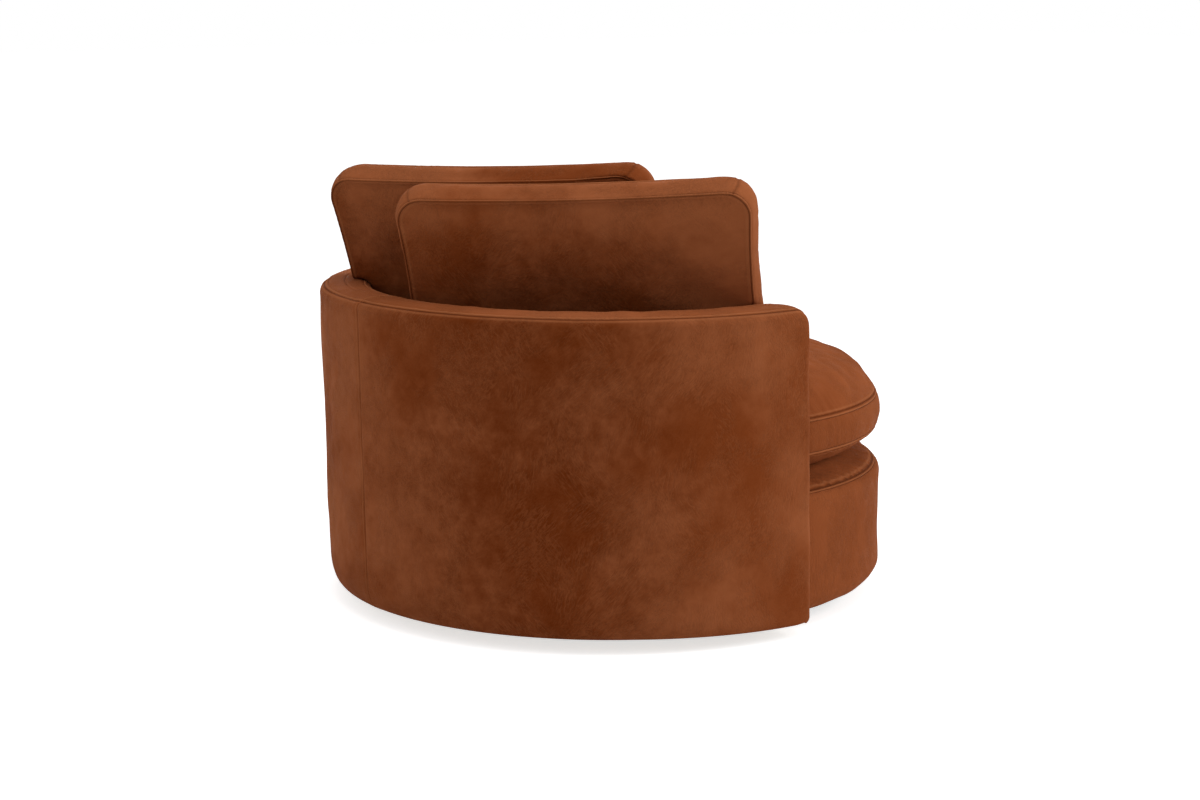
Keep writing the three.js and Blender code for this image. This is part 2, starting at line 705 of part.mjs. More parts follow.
function seatTopAt(x, y) {
  const share = Math.hypot(x, y - drumCentreY) / seatSeamRadius;
  return share < 1 ? seatHighSeam + crownAt(share, seatCrownHeight) : 0;
}

// Axes of a back cushion: across its width, out of its front, and up its height
function backAxes(turn) {
  const flatFront = new THREE.Vector3(Math.sin(turn), -Math.cos(turn), 0);
  const across = new THREE.Vector3(Math.cos(turn), Math.sin(turn), 0).negate();
  const up = new THREE.Vector3(0, 0, 1);
  const front = flatFront.clone().multiplyScalar(Math.cos(backLean)).addScaledVector(up, Math.sin(backLean));
  const rise = flatFront.clone().multiplyScalar(-Math.sin(backLean)).addScaledVector(up, Math.cos(backLean));
  const width = across.clone().multiplyScalar(Math.cos(backRoll)).addScaledVector(rise, Math.sin(backRoll));
  const height = across.clone().multiplyScalar(-Math.sin(backRoll)).addScaledVector(rise, Math.cos(backRoll));
  return { width, front, height };
}

// Outline of the cushion's panel, grown by an amount: round corners, and sides drawn in between them
function panelOutline(grow) {
  const outline = [];
  const wide = backWidth / 2 - backCornerRadius;
  const high = backHeight / 2 - backCornerRadius;
  const radius = backCornerRadius + grow;
  const corners = [[1, 1], [-1, 1], [-1, -1], [1, -1]];
  corners.forEach(([right, above], quarter) => {
    for (let k = 0; k <= cornerSteps; k++) {
      const turn = rightAngle * (quarter + k / cornerSteps);
      outline.push([right * wide + radius * Math.cos(turn), above * high + radius * Math.sin(turn)]);
    }
    const steps = quarter % 2 === 0 ? longSideSteps : shortSideSteps;
    for (let k = 1; k < steps; k++) {
      const share = 1 - 2 * k / steps;
      const drawn = backDrawIn * (1 - share ** 2);
      if (quarter % 2 === 0) {
        outline.push([right * wide * share, above * (high + radius - drawn)]);
      } else {
        outline.push([right * (wide + radius - drawn), above * high * share]);
      }
    }
  });
  return outline;
}

// Keeps a soft point outside the shell's rounded wall, as the pressed cushion does
function clearOfShell(point) {
  const centreY = shellCentreY + leanAt(Math.min(point.z, rimHeight));
  const r = Math.hypot(point.x, point.y - centreY);
  const middle = (shellRadius + innerRadius) / 2;
  const across = Math.abs(r - middle) - (shellWall / 2 - rimRound);
  const above = point.z - (rimHeight + rimCrownHeight - rimRound);
  const outside = Math.hypot(Math.max(across, 0), Math.max(above, 0));
  const depth = rimRound + restGap - (outside > 0 ? outside : Math.max(across, above));
  if (depth <= 0) {
    return;
  }
  let dr = Math.max(across, 0) * Math.sign(r - middle);
  let dz = Math.max(above, 0);
  if (outside === 0) {
    dr = across > above ? Math.sign(r - middle) : 0;
    dz = across > above ? 0 : 1;
  }
  const size = Math.hypot(dr, dz);
  const scale = (r + depth * dr / size) / r;
  point.x *= scale;
  point.y = centreY + (point.y - centreY) * scale;
  point.z += depth * dz / size;
}

// Middle of a back cushion
function backPlace(bearing, fromWall, aboveSeat) {
  const r = innerRadius - fromWall;
  const height = seatHighSeam + seatCrownHeight + aboveSeat;
  return new THREE.Vector3(r * Math.sin(bearing), shellCentreY + r * Math.cos(bearing), height);
}
const rightBackPlace = backPlace(rightBackBearing, rightBackFromWall, rightBackAboveSeat);
const leftBackPlace = backPlace(leftBackBearing, leftBackFromWall, leftBackAboveSeat);

const faceShares = [0.93, 0.8, 0.58, 0.3];
function backCushion(place, turn, press) {
  const axes = backAxes(turn);
  const half = backBorder / 2;
  const rings = [];
  const crown = (share) => half + backCrownHeight * (1 - share ** 2) ** (3 / 4);
  const ring = (scale, grow, out) => rings.push({ scale, grow, out });
  for (const share of [...faceShares].reverse()) {
    ring(share, 0, -crown(share));
  }
  ring(1, 0, -half);
  ring(1, backBorderBulge, -half / 3);
  ring(1, backBorderBulge, half / 3);
  ring(1, 0, half);
  for (const share of faceShares) {
    ring(share, 0, crown(share));
  }
  const place3 = (a, b, out) => {
    const point = place.clone().addScaledVector(axes.width, a);
    point.addScaledVector(axes.height, b).addScaledVector(axes.front, out);
    press(point);
    clearOfShell(point);
    point.z = Math.max(point.z, seatTopAt(point.x, point.y) + sinkGap);
    return point;
  };
  const points = [place3(0, 0, -crown(0))];
  for (const { scale, grow, out } of rings) {
    for (const [a, b] of panelOutline(grow)) {
      points.push(place3(a * scale, b * scale, out));
    }
  }
  points.push(place3(0, 0, crown(0)));
  const triangles = [];
  const panelSides = panelOutline(0).length;
  const at = (k, i) => 1 + k * panelSides + (i % panelSides);
  for (let i = 0; i < panelSides; i++) {
    triangles.push([0, at(0, i + 1), at(0, i)]);
    for (let k = 0; k < rings.length - 1; k++) {
      triangles.push([at(k, i), at(k, i + 1), at(k + 1, i + 1)]);
      triangles.push([at(k, i), at(k + 1, i + 1), at(k + 1, i)]);
    }
    triangles.push([points.length - 1, at(rings.length - 1, i), at(rings.length - 1, i + 1)]);
  }
  return closedGeometry(points, triangles);
}

// The two back cushions lean on each other along one plane
const contactTurn = (rightBackTurn + leftBackTurn) / 2;
const contactNormal = backAxes(contactTurn).front;
const contactPlace = rightBackPlace.clone().add(leftBackPlace).divideScalar(2);
function pressBehind(point) {
  const over = point.clone().sub(contactPlace).dot(contactNormal) + restGap / 2;
  point.addScaledVector(contactNormal, -Math.max(over, 0));
}
function pressInFront(point) {
  const over = restGap / 2 - point.clone().sub(contactPlace).dot(contactNormal);
  point.addScaledVector(contactNormal, Math.max(over, 0));
}

// Room that the shell takes, grown by a small gap, for trimming what leans over the rim
function shellRoom() {
  const lengths = roundLengths(armLength);
  lengths[0] = -armLength;
  lengths[lengths.length - 1] = armLength;
  const low = innerCoverLow;
  const side = (sign) => lengths.map((l) => {
    const middle = (shellRadius + innerRadius) / 2;
    const centre = middle + sign * (shellWall / 2 - rimRound);
    const column = [shellPoint(middle + sign * (shellWall / 2 + gap), l, low)];
    for (let k = 0; k <= roundSteps; k++) {
      const angle = rightAngle * k / roundSteps;
      const reach = rimRound + gap;
      const height = rimHeight + rimCrownHeight - rimRound + reach * Math.sin(angle);
      column.push(shellPoint(centre + sign * reach * Math.cos(angle), l, height));
    }
    column.push(shellPoint(middle + sign * gap, l, rimHeight + rimCrownHeight + gap));
    return column;
  });
  return solidOf(slab(side(1), side(-1)));
}
const room = shellRoom();
for (const [name, place, turn, press] of [
  ["back_cushion_right", rightBackPlace, rightBackTurn, pressBehind],
  ["back_cushion_left", leftBackPlace, leftBackTurn, pressInFront],
]) {
  const cushion = solidOf(backCushion(place, turn, press)).subtract(room);
  add(name, geometryOf(cushion), hide);
}

export default chair;
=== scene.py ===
import math

import bpy
import numpy as np
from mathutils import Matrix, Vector
from mathutils.bvhtree import BVHTree


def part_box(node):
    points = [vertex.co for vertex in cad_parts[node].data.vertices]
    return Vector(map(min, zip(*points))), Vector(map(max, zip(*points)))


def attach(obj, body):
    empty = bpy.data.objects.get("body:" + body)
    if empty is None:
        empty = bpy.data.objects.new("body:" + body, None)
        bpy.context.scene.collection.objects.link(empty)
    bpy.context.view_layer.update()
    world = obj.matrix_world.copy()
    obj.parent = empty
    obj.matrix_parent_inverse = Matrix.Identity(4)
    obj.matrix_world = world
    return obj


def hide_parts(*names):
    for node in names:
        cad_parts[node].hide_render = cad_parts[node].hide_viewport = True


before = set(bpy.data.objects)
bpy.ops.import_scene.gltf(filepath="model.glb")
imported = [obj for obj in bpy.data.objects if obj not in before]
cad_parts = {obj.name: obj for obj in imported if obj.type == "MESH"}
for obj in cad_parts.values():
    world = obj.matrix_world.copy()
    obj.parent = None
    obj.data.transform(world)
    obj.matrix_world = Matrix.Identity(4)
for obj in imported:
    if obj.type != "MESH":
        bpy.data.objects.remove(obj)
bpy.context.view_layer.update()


# Swivel base
# Five moulded glides under a round plywood board, and two zinc-plated steel plates with a
# caged ball race between them. Bolts hold the plates to the boards above and below.
def place(tree, kind, inputs=None, **settings):
    """Adds a node; an input is a value, or the socket that feeds it."""
    item = tree.nodes.new(kind)
    for name, value in settings.items():
        setattr(item, name, value)
    for name, value in (inputs or {}).items():
        if isinstance(value, bpy.types.NodeSocket):
            tree.links.new(value, item.inputs[name])
        else:
            item.inputs[name].default_value = value
    return item


def new_material(name, roughness=0.5, metallic=0.0):
    """A material with its node tree, its surface shader and the piece's own coordinates."""
    material = bpy.data.materials.new(name)
    material.use_nodes = True
    tree = material.node_tree
    surface = tree.nodes["Principled BSDF"]
    surface.inputs["Roughness"].default_value = roughness
    surface.inputs["Metallic"].default_value = metallic
    return material, tree, surface, place(tree, "ShaderNodeTexCoord").outputs["Object"]


def shades(tree, factor, *stops):
    """A colour ramp from (position, colour) stops."""
    ramp = place(tree, "ShaderNodeValToRGB", {"Fac": factor})
    ramp.color_ramp.elements[0].position = stops[0][0]
    ramp.color_ramp.elements[1].position = stops[-1][0]
    for position, colour in stops[1:-1]:
        ramp.color_ramp.elements.new(position)
    for element, (position, colour) in zip(ramp.color_ramp.elements, stops):
        element.color = (*colour, 1)
    return ramp.outputs["Color"]


def noise(tree, vector, scale, detail=3.0, roughness=0.5, distortion=0.0):
    return place(tree, "ShaderNodeTexNoise", {
        "Vector": vector, "Scale": scale, "Detail": detail, "Roughness": roughness, "Distortion": distortion,
    }).outputs["Fac"]


def mapped(tree, vector, kind="POINT", **inputs):
    """Coordinates moved, turned or stretched."""
    return place(tree, "ShaderNodeMapping", {"Vector": vector, **inputs}, vector_type=kind).outputs["Vector"]


def spread(tree, value, low, high, to_low=0.0, to_high=1.0, kind="LINEAR"):
    """The range of a value drawn out to another range."""
    return place(tree, "ShaderNodeMapRange", {
        "Value": value, "From Min": low, "From Max": high, "To Min": to_low, "To Max": to_high,
    }, interpolation_type=kind).outputs["Result"]


def rough_from(tree, surface, factor, low, high):
    tree.links.new(spread(tree, factor, 0.0, 1.0, low, high), surface.inputs["Roughness"])


def coat(tree, surface, colour, height, depth, strength=1.0):
    """Gives a surface its colour and its fine relief."""
    tree.links.new(colour, surface.inputs["Base Color"])
    bump = place(tree, "ShaderNodeBump", {"Height": height, "Distance": depth, "Strength": strength})
    tree.links.new(bump.outputs["Normal"], surface.inputs["Normal"])


def plywood(name, tint, grain_turn=0.0):
    material, tree, surface, where = new_material(name)
    along = mapped(tree, where, Scale=(3, 60, 60), Rotation=(0, 0, grain_turn))
    grain = noise(tree, along, 1.6, detail=8, roughness=0.62, distortion=0.8)
    fine = mapped(tree, where, Scale=(14, 420, 420), Rotation=(0, 0, grain_turn))
    pores = noise(tree, fine, 1.0, detail=2)
    dark, light = [c * 0.62 for c in tint], [min(c * 1.2, 1) for c in tint]
    colour = shades(tree, grain, (0.28, dark), (0.5, tint), (0.72, light))
    plies = place(tree, "ShaderNodeTexWave", {"Vector": where, "Scale": 120.0, "Distortion": 0.4},
                  bands_direction="Z")
    shade = shades(tree, plies.outputs["Fac"], (0.2, (0.78, 0.74, 0.7)), (0.6, (1, 1, 1)))
    mix = place(tree, "ShaderNodeMix", {0: 0.6, 6: colour, 7: shade}, data_type="RGBA", blend_type="MULTIPLY")
    coat(tree, surface, mix.outputs[2], pores, 0.0003)
    rough_from(tree, surface, grain, 0.6, 0.85)
    return material


def dress(material, *starts):
    """Gives a material to the CAD nodes whose names start so."""
    for name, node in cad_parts.items():
        if name.startswith(starts):
            node.data.materials.clear()
            node.data.materials.append(material)


moulded, tree, surface, where = new_material("moulded_plastic")
pebble = noise(tree, where, 700, detail=2)
colour = shades(tree, noise(tree, where, 60), (0.3, (0.018, 0.018, 0.02)), (0.7, (0.035, 0.035, 0.038)))
coat(tree, surface, colour, pebble, 0.00012)
rough_from(tree, surface, pebble, 0.45, 0.65)
dress(moulded, "floor_glide_", "ball_cage")

zinc, tree, surface, where = new_material("zinc_plate", metallic=1.0)
brushed = noise(tree, mapped(tree, where, Scale=(1, 40, 40)), 30, detail=4)
colour = shades(tree, noise(tree, where, 38, detail=6),
                (0.3, (0.38, 0.39, 0.41)), (0.55, (0.55, 0.56, 0.58)), (0.75, (0.66, 0.65, 0.6)))
coat(tree, surface, colour, brushed, 0.0001)
rough_from(tree, surface, brushed, 0.28, 0.5)
dress(zinc, "lower_swivel_plate", "upper_swivel_plate", "swivel_pivot",
      "base_bolt_", "frame_bolt_", "race_ball_", "seat_spring_")

dress(plywood("birch_plywood", (0.56, 0.38, 0.2)), "base_board", "bottom_board", "seat_frame")


# Turning frame
# Bent plywood inside and outside softwood posts, a laminated top rail, and posts that carry
# the drum's ring. All of it is glued and screwed, and the covers hide it.
dress(plywood("bent_plywood", (0.6, 0.42, 0.23)),
      "outer_bent_board", "inner_bent_board", "drum_front_board", "top_rail")
dress(plywood("softwood", (0.66, 0.47, 0.27), math.pi / 2), "shell_post_", "arm_front_post_", "drum_post_")


# Foam and wadding
# Cut foam sheets on the rim, the back and the deck, and fibre wadding under the thin covers.
# Both are glued to the boards and are closed in by the leather.
for name, light, dark, cell_scale, depth, pads in (
    ("cut_foam", (0.82, 0.74, 0.45), (0.7, 0.6, 0.33), 420, 0.0008, ("back_foam", "rim_pad", "deck_foam")),
    ("fibre_wadding", (0.9, 0.88, 0.84), (0.78, 0.76, 0.72), 160, 0.002, ("outer_wadding", "drum_wadding")),
):
    material, tree, surface, where = new_material(name, roughness=0.95)
    cells = place(tree, "ShaderNodeTexVoronoi", {"Vector": where, "Scale": cell_scale}).outputs["Distance"]
    clouds = noise(tree, where, 14, detail=5)
    coat(tree, surface, shades(tree, clouds, (0.3, dark), (0.7, light)), cells, depth)
    dress(material, *pads)


# Outer covers
# Two panels of cloudy brown nubuck leather, pulled over thin wadding. They meet in a topstitched
# seam down the centre of the back, join the rim band at the top, and are stapled under the hem.
shell_radius = 0.609
shell_wall = 0.109
rim_height = 0.677
floor_gap = 0.030
rim_round = 0.018
arm_reach = math.radians(98.2)
arm_corner_radius = 0.036
rim_lean = 0.015
rim_crown = 0.005
hem_depth = 0.025
hem_height = 0.061
hem_least = 0.008
hem_fade_start = math.radians(60)
front_foot_round = 0.010
drum_radius = 0.567
drum_forward = 0.035
leather = 0.0016
seam_roll = 0.0028
seam_tuck = 0.0050
seam_turn = math.radians(60)
seam_zone = 0.016
seam_gap = 0.0002
stitch_line = 0.0076
edge_step = 0.003
wall_step = 0.0075
cover_softness = 0.0016

inner_radius = shell_radius - shell_wall
arm_length = shell_radius * arm_reach
corner_length = arm_length - arm_corner_radius
corner_height = rim_height - arm_corner_radius


def lean_at(z):
    return rim_lean * (z - floor_gap) / (rim_height - floor_gap)


shell_centre_y = (drum_forward + drum_radius - shell_radius - lean_at(rim_height - rim_round)) / 2
drum_centre_y = shell_centre_y - drum_forward


def shell_point(r, l, z):
    """A point of the shell: radius, length round from the centre back, and height."""
    r, l, z = np.broadcast_arrays(r, l, z)
    turn = l / shell_radius
    return np.stack([r * np.sin(turn), shell_centre_y + lean_at(z) + r * np.cos(turn), z], -1)


def bell(distance, centre, width):
    return np.exp(-((distance - centre) / width) ** 2)


def plain_edge(distance):
    """How far a panel stands up beside a seam: it swells softly next to the stitching."""
    return 0.0009 * bell(distance, 0.0045, 0.004) + 0.0007 * bell(distance, 0.014, 0.009)


def stitched_edge(distance):
    """Beside a topstitched seam: a flat raised lip, the pulled-in stitch line, and a soft swell."""
    lip = 0.0015 / (1 + np.exp((distance - 0.0062) / 0.0005))
    return lip - 0.0011 * bell(distance, stitch_line, 0.0011) + 0.0009 * bell(distance, 0.015, 0.007)


def seam_shade_and_wear(distance, stitched):
    """Colour near a seam: below zero where shade is painted dark into the crease and the pulled-in stitch
    line, above zero on the rubbed lip.
    """
    shade = -1.0 * bell(distance, 0, 0.0023) + 0.5 * bell(distance, 0.0054, 0.0022)
    if stitched:
        shade = shade + 0.3 * bell(distance, 0.0052, 0.0016) - 0.4 * bell(distance, stitch_line, 0.0011)
    return shade


roll_steps = np.linspace(0, 1, 6) * (seam_tuck + seam_roll * math.pi / 2)
near_steps = np.arange(0.0006, seam_zone, 0.0007)


def seam_edge(travel, profile):
    """Distance from the seam and depth under the surface, along a panel edge that rolls into its seam."""
    curl = seam_roll * math.pi / 2
    turn = np.clip((seam_tuck + curl - travel) / seam_roll, 0, math.pi / 2)
    past = np.maximum(travel - seam_tuck - curl, 0)
    advance = seam_gap + seam_roll * (1 - np.sin(turn)) + past
    depth = seam_roll * (1 - np.cos(turn)) + np.maximum(seam_tuck - travel, 0)
    rise = profile(advance) * np.clip(past / seam_roll, 0, 1)
    return advance, depth - rise


def edge_travels(length, coarse):
    """Steps along a panel edge: close together at the seam, then wider."""
    start = roll_steps[-1]
    far = np.linspace(seam_zone, length, max(int((length - seam_zone) / coarse), 1) + 1)
    return np.concatenate([roll_steps, start + near_steps, start + far])


centre_travels = edge_travels(0.04, 0.004)
edge_length = rim_round * seam_turn + arm_corner_radius - rim_round


def round_over(travel):
    """Distance from the seam, reach and inset along the rounded edge, from its seam down to the flat wall."""
    advance, depth = seam_edge(travel, plain_edge)
    turn = np.maximum(seam_turn - advance / rim_round, 0)
    flat = arm_corner_radius - rim_round
    reach = flat + rim_round * np.sin(turn) - np.maximum(advance - rim_round * seam_turn, 0)
    inset = rim_round * (1 - np.cos(turn))
    return advance, reach - depth * np.sin(turn), inset + depth * np.cos(turn)


def foot_pull(z):
    """How far the arm's front edge is drawn in by the rounding at its foot."""
    share = np.clip((floor_gap + front_foot_round - z) / front_foot_round, 0, 1)
    return front_foot_round * (1 - np.sqrt(1 - share ** 2))


def wall_grid(low, centre_edge=None):
    """One face of the shell from a low edge to its top seam, and each point's distance from a seam.

    Rows go up, and columns go from the centre back to the arm. With the edge of a centre seam it is
    the outer face, and it starts in a hem. Without one it is the inner face.
    """
    inside = centre_edge is None
    advance, reach, inset = round_over(edge_travels(edge_length, edge_step)[::-1])
    share = np.linspace(0, 1, len(reach))
    columns = int(corner_length / wall_step)
    rows = []
    if inside:
        starts = np.linspace(0, corner_length, columns)[:-1]
        start_depth, start_distance = np.zeros(len(starts)), np.ones(len(starts))
    else:
        rows += [("hem", turn) for turn in np.radians(np.linspace(0, 84, 11))]
        low = low + hem_height
        seam, seam_depth = seam_edge(centre_travels, centre_edge)
        more = np.linspace(seam[-1], corner_length, columns)[1:-1]
        starts = start_distance = np.append(seam, more)
        start_depth = np.append(seam_depth, np.zeros(len(more)))
    steps = int((corner_height - low) / wall_step)
    rows += [("wall", z) for z in np.linspace(low, corner_height, steps)[:-1]]
    rows += [("top", k) for k in range(len(reach))]

    lengths = np.append(starts, corner_length + reach)
    corner = np.arange(len(lengths)) >= len(starts)
    column_inset = np.append(start_depth, inset)
    column_share, column_reach = (np.append(np.zeros(len(starts)), values) for values in (share, reach))
    column_distance = np.append(start_distance, advance)
    fade_start = hem_fade_start * shell_radius
    fade = 1 - np.clip((lengths - fade_start) / (corner_length - fade_start), 0, 1)
    hem = np.maximum(hem_height * fade, hem_least)
    foot = low if inside else floor_gap + hem
    grid, distance = [], []
    for kind, value in rows:
        l, depth = lengths, column_inset
        distance.append(np.minimum(column_distance, advance[value] if kind == "top" else 1))
        if kind == "hem":
            z = floor_gap + hem - hem * math.cos(value)
            depth = depth + hem_depth * fade * (1 - math.sin(value))
            l = l - foot_pull(z) * column_reach / column_reach.max()
        elif kind == "wall":
            z = foot + (corner_height - foot) * (value - low) / (corner_height - low)
        else:
            up, top_inset, top_reach = share[value], inset[value], reach[value]
            higher = up >= column_share
            biggest = np.maximum(up, column_share)
            ratio = np.divide(np.minimum(up, column_share), biggest, out=np.zeros(len(l)), where=biggest > 0)
            turn = math.pi / 4 * np.where(higher, ratio, 2 - ratio)
            out = np.where(higher, top_reach, column_reach)
            z = np.where(corner, corner_height + out * np.cos(turn), corner_height + top_reach)
            l = np.where(corner, corner_length + out * np.sin(turn), l)
            depth = np.where(corner, np.where(higher, top_inset, column_inset), column_inset + top_inset)
        grid.append(shell_point(inner_radius + depth if inside else shell_radius - depth, l, z))
    return np.array(grid), np.array(distance)


def ripple(points, length, seed, stretch_by=(1, 1, 1), waves=14):
    """Smooth random field, about -1 to 1, with waves near one length."""
    random = np.random.default_rng(seed)
    total = np.zeros(points.shape[:-1])
    for _ in range(waves):
        heading = random.normal(size=3)
        heading *= 2 * math.pi / (length * random.uniform(0.7, 1.6) * np.linalg.norm(heading))
        total += np.sin(points @ (heading * np.array(stretch_by)) + random.uniform(0, 2 * math.pi))
    return total / math.sqrt(waves)


def grid_normals(grid, ring=False):
    """Unit normals of a grid of points, rows crossed with columns."""
    down = np.gradient(grid, axis=0)
    if ring:
        across = (np.roll(grid, -1, 1) - np.roll(grid, 1, 1)) / 2
    else:
        across = np.gradient(grid, axis=1)
    normals = np.cross(across, down)
    return normals / np.maximum(np.linalg.norm(normals, axis=-1, keepdims=True), 1e-12)


def softened(grid, outward, amount, seed, fade_rows=12):
    """Moves a stretched cover in and out by soft hollows and fine drawn creases, but not at its seams."""
    rows, columns = grid.shape[:2]
    normals = grid_normals(grid) * outward
    field = ripple(grid, 0.16, seed) * 0.6 + ripple(grid, 0.07, seed + 1, (1, 1, 0.6)) * 0.3
    field += ripple(grid, 0.022, seed + 2, (1, 1, 0.35)) * 0.12
    edge = np.minimum(np.arange(rows)[:, None], (rows - 1 - np.arange(rows))[:, None])
    side = np.minimum(np.arange(columns)[None, :], (columns - 1 - np.arange(columns))[None, :])
    keep = np.clip(np.minimum(edge, side) / fade_rows, 0, 1) ** 1.5
    return grid + normals * (field * amount * keep)[..., None]


def put_in_scene(name, data):
    item = bpy.data.objects.new(name, data)
    bpy.context.scene.collection.objects.link(item)
    return item


def mesh_object(name, points, faces, shade=None):
    """Smooth mesh object. It stores the painted shade and the rubbed light near its seams, for the hide
    material.
    """
    mesh = bpy.data.meshes.new(name)
    mesh.from_pydata(points, [], faces)
    mesh.polygons.foreach_set("use_smooth", [True] * len(mesh.polygons))
    if shade is not None:
        values = mesh.attributes.new("seam_shade_and_wear", "FLOAT", "POINT")
        values.data.foreach_set("value", np.ravel(shade).astype(np.float32))
    return put_in_scene(name, mesh)


def grid_object(name, grid, outward=1, ring=False, shade=None):
    """Mesh object from a grid of points, with its faces turned the outward way."""
    index = np.arange(grid[..., 0].size).reshape(grid.shape[:2])
    left = index if ring else index[:, :-1]
    right = np.roll(index, -1, 1) if ring else index[:, 1:]
    quads = np.stack([left[:-1], right[:-1], right[1:], left[1:]], -1).reshape(-1, 4)[:, ::outward]
    if shade is not None:
        shade = np.broadcast_to(shade, index.shape)
    return mesh_object(name, grid.reshape(-1, 3).tolist(), quads.tolist(), shade)


def thicken(piece, thickness):
    """Closes a sheet of leather into a thin solid, with its outer face left in place."""
    wall = piece.modifiers.new("thickness", "SOLIDIFY")
    wall.thickness = thickness
    wall.offset = -1
    wall.use_rim = True


def hide_effect():
    """Cloudy nubuck: soft dark clouds made of small blots, fine drawn creases, and a short nap."""
    tree = bpy.data.node_groups.new("nubuck hide", "ShaderNodeTree")
    for name, kind in (("Vector", "Vector"), ("Dye And Shade Zone", "Float"), ("Cloud Amount", "Float"),
                       ("Seam Shade And Wear", "Float"), ("Light", "Color"), ("Middle", "Color"), ("Dark", "Color")):
        tree.interface.new_socket(name, in_out="INPUT", socket_type=f"NodeSocket{kind}")
    for name, kind in (("Color", "Color"), ("Roughness", "Float"), ("Height", "Float")):
        tree.interface.new_socket(name, in_out="OUTPUT", socket_type=f"NodeSocket{kind}")
    given = tree.nodes.new("NodeGroupInput").outputs
    where, light = given["Vector"], given["Light"]

    def softly(value, low, high, to_low=0.0, to_high=1.0):
        return spread(tree, value, low, high, to_low, to_high, "SMOOTHSTEP")

    def maths(kind, *values):
        return place(tree, "ShaderNodeMath", dict(enumerate(values)), operation=kind).outputs[0]

    def together(*parts, add=0.0):
        """Sum of values, each times its weight."""
        for value, weight in parts:
            add = maths("MULTIPLY_ADD", value, weight, add)
        return add

    def clamped(value, most):
        return place(tree, "ShaderNodeClamp", {"Value": value, "Max": most}).outputs[0]

    def blend(factor, a, b):
        return place(tree, "ShaderNodeMix", {0: factor, 6: a, 7: b}, data_type="RGBA").outputs[2]

    def drawn_out(direction, length):
        """Coordinates in which a noise is drawn out along a direction."""
        turn = Vector(direction).to_track_quat("X", "Z").to_euler()
        return mapped(tree, where, "TEXTURE", Rotation=tuple(turn), Scale=(length, 1, 1))

    clouds = noise(tree, where, 3.2, detail=3, roughness=0.55)
    patches = noise(tree, where, 11, detail=3, roughness=0.55)
    blots = noise(tree, where, 42, detail=4, roughness=0.58, distortion=0.25)
    mottling = together((blots, 0.75), (patches, 0.6), add=-0.675)
    # The zone makes the hide darker, partly by its own dye and partly by painted shade
    dye_and_shade_zone = given["Dye And Shade Zone"]
    depth = together((dye_and_shade_zone, 0.8), (mottling, together((dye_and_shade_zone, 0.75), add=0.45)))
    dark_share = maths("MULTIPLY", softly(depth, -0.02, 1.05), given["Cloud Amount"])
    light_share = softly(together((clouds, 1), (mottling, -0.12)), 0.34, 0.62)
    colour = blend(dark_share, blend(light_share, given["Middle"], light), given["Dark"])

    # Creases: thin drawn lines in a few directions, each in patches of its own
    lines = 0.0
    for direction, scale, patch_scale in (((-0.36, -0.51, 0.78), 118, 7), ((-0.42, -0.58, 0.7), 205, 9),
                                          ((-0.12, -0.2, 0.97), 160, 8), ((0.34, 0.48, 0.8), 150, 10)):
        field = noise(tree, drawn_out(direction, 6), scale, detail=2, roughness=0.6)
        line = softly(maths("ABSOLUTE", maths("SUBTRACT", field, 0.5)), 0.075, 0.0)
        patch = softly(noise(tree, drawn_out(direction, 1.6), patch_scale, detail=3), 0.48, 0.62)
        lines = maths("MAXIMUM", lines, maths("MULTIPLY", line, patch))
    colour = blend(maths("MULTIPLY", lines, 0.3), colour, light)
    combed = (-0.42, -0.55, 0.72)
    nap = noise(tree, drawn_out(combed, 2.5), 420, detail=3, roughness=0.6)
    colour = blend(softly(nap, 0.3, 0.75, 0.0, 0.14), colour, light)

    # Seams: the lips are rubbed light, and shade is painted dark into the crease between them
    colour = blend(clamped(given["Seam Shade And Wear"], 0.7), colour, (0.36, 0.122, 0.046, 1))
    painted_crease_shade = clamped(maths("MULTIPLY", given["Seam Shade And Wear"], -0.75), 0.75)
    colour = blend(painted_crease_shade, colour, (0.045, 0.0085, 0.0012, 1))

    waves = noise(tree, drawn_out(combed, 3), 48, detail=3, roughness=0.55)
    pebbles = place(tree, "ShaderNodeTexVoronoi", {"Vector": where, "Scale": 620.0}).outputs["Distance"]
    height = together((waves, 0.5), (lines, -0.6), (pebbles, 0.1), (nap, 0.14))
    rough = softly(together((blots, 0.5), (nap, 0.5)), 0.3, 0.7, 0.62, 0.8)
    result = tree.nodes.new("NodeGroupOutput")
    for name, socket in (("Color", colour), ("Roughness", rough), ("Height", height)):
        tree.links.new(socket, result.inputs[name])
    return tree


hide_group = hide_effect()
outer_colours = (0.302, 0.09, 0.032), (0.186, 0.0395, 0.008), (0.108, 0.0165, 0.0007)
band_colours = (0.29, 0.084, 0.029), (0.235, 0.063, 0.019), (0.15, 0.033, 0.0075)


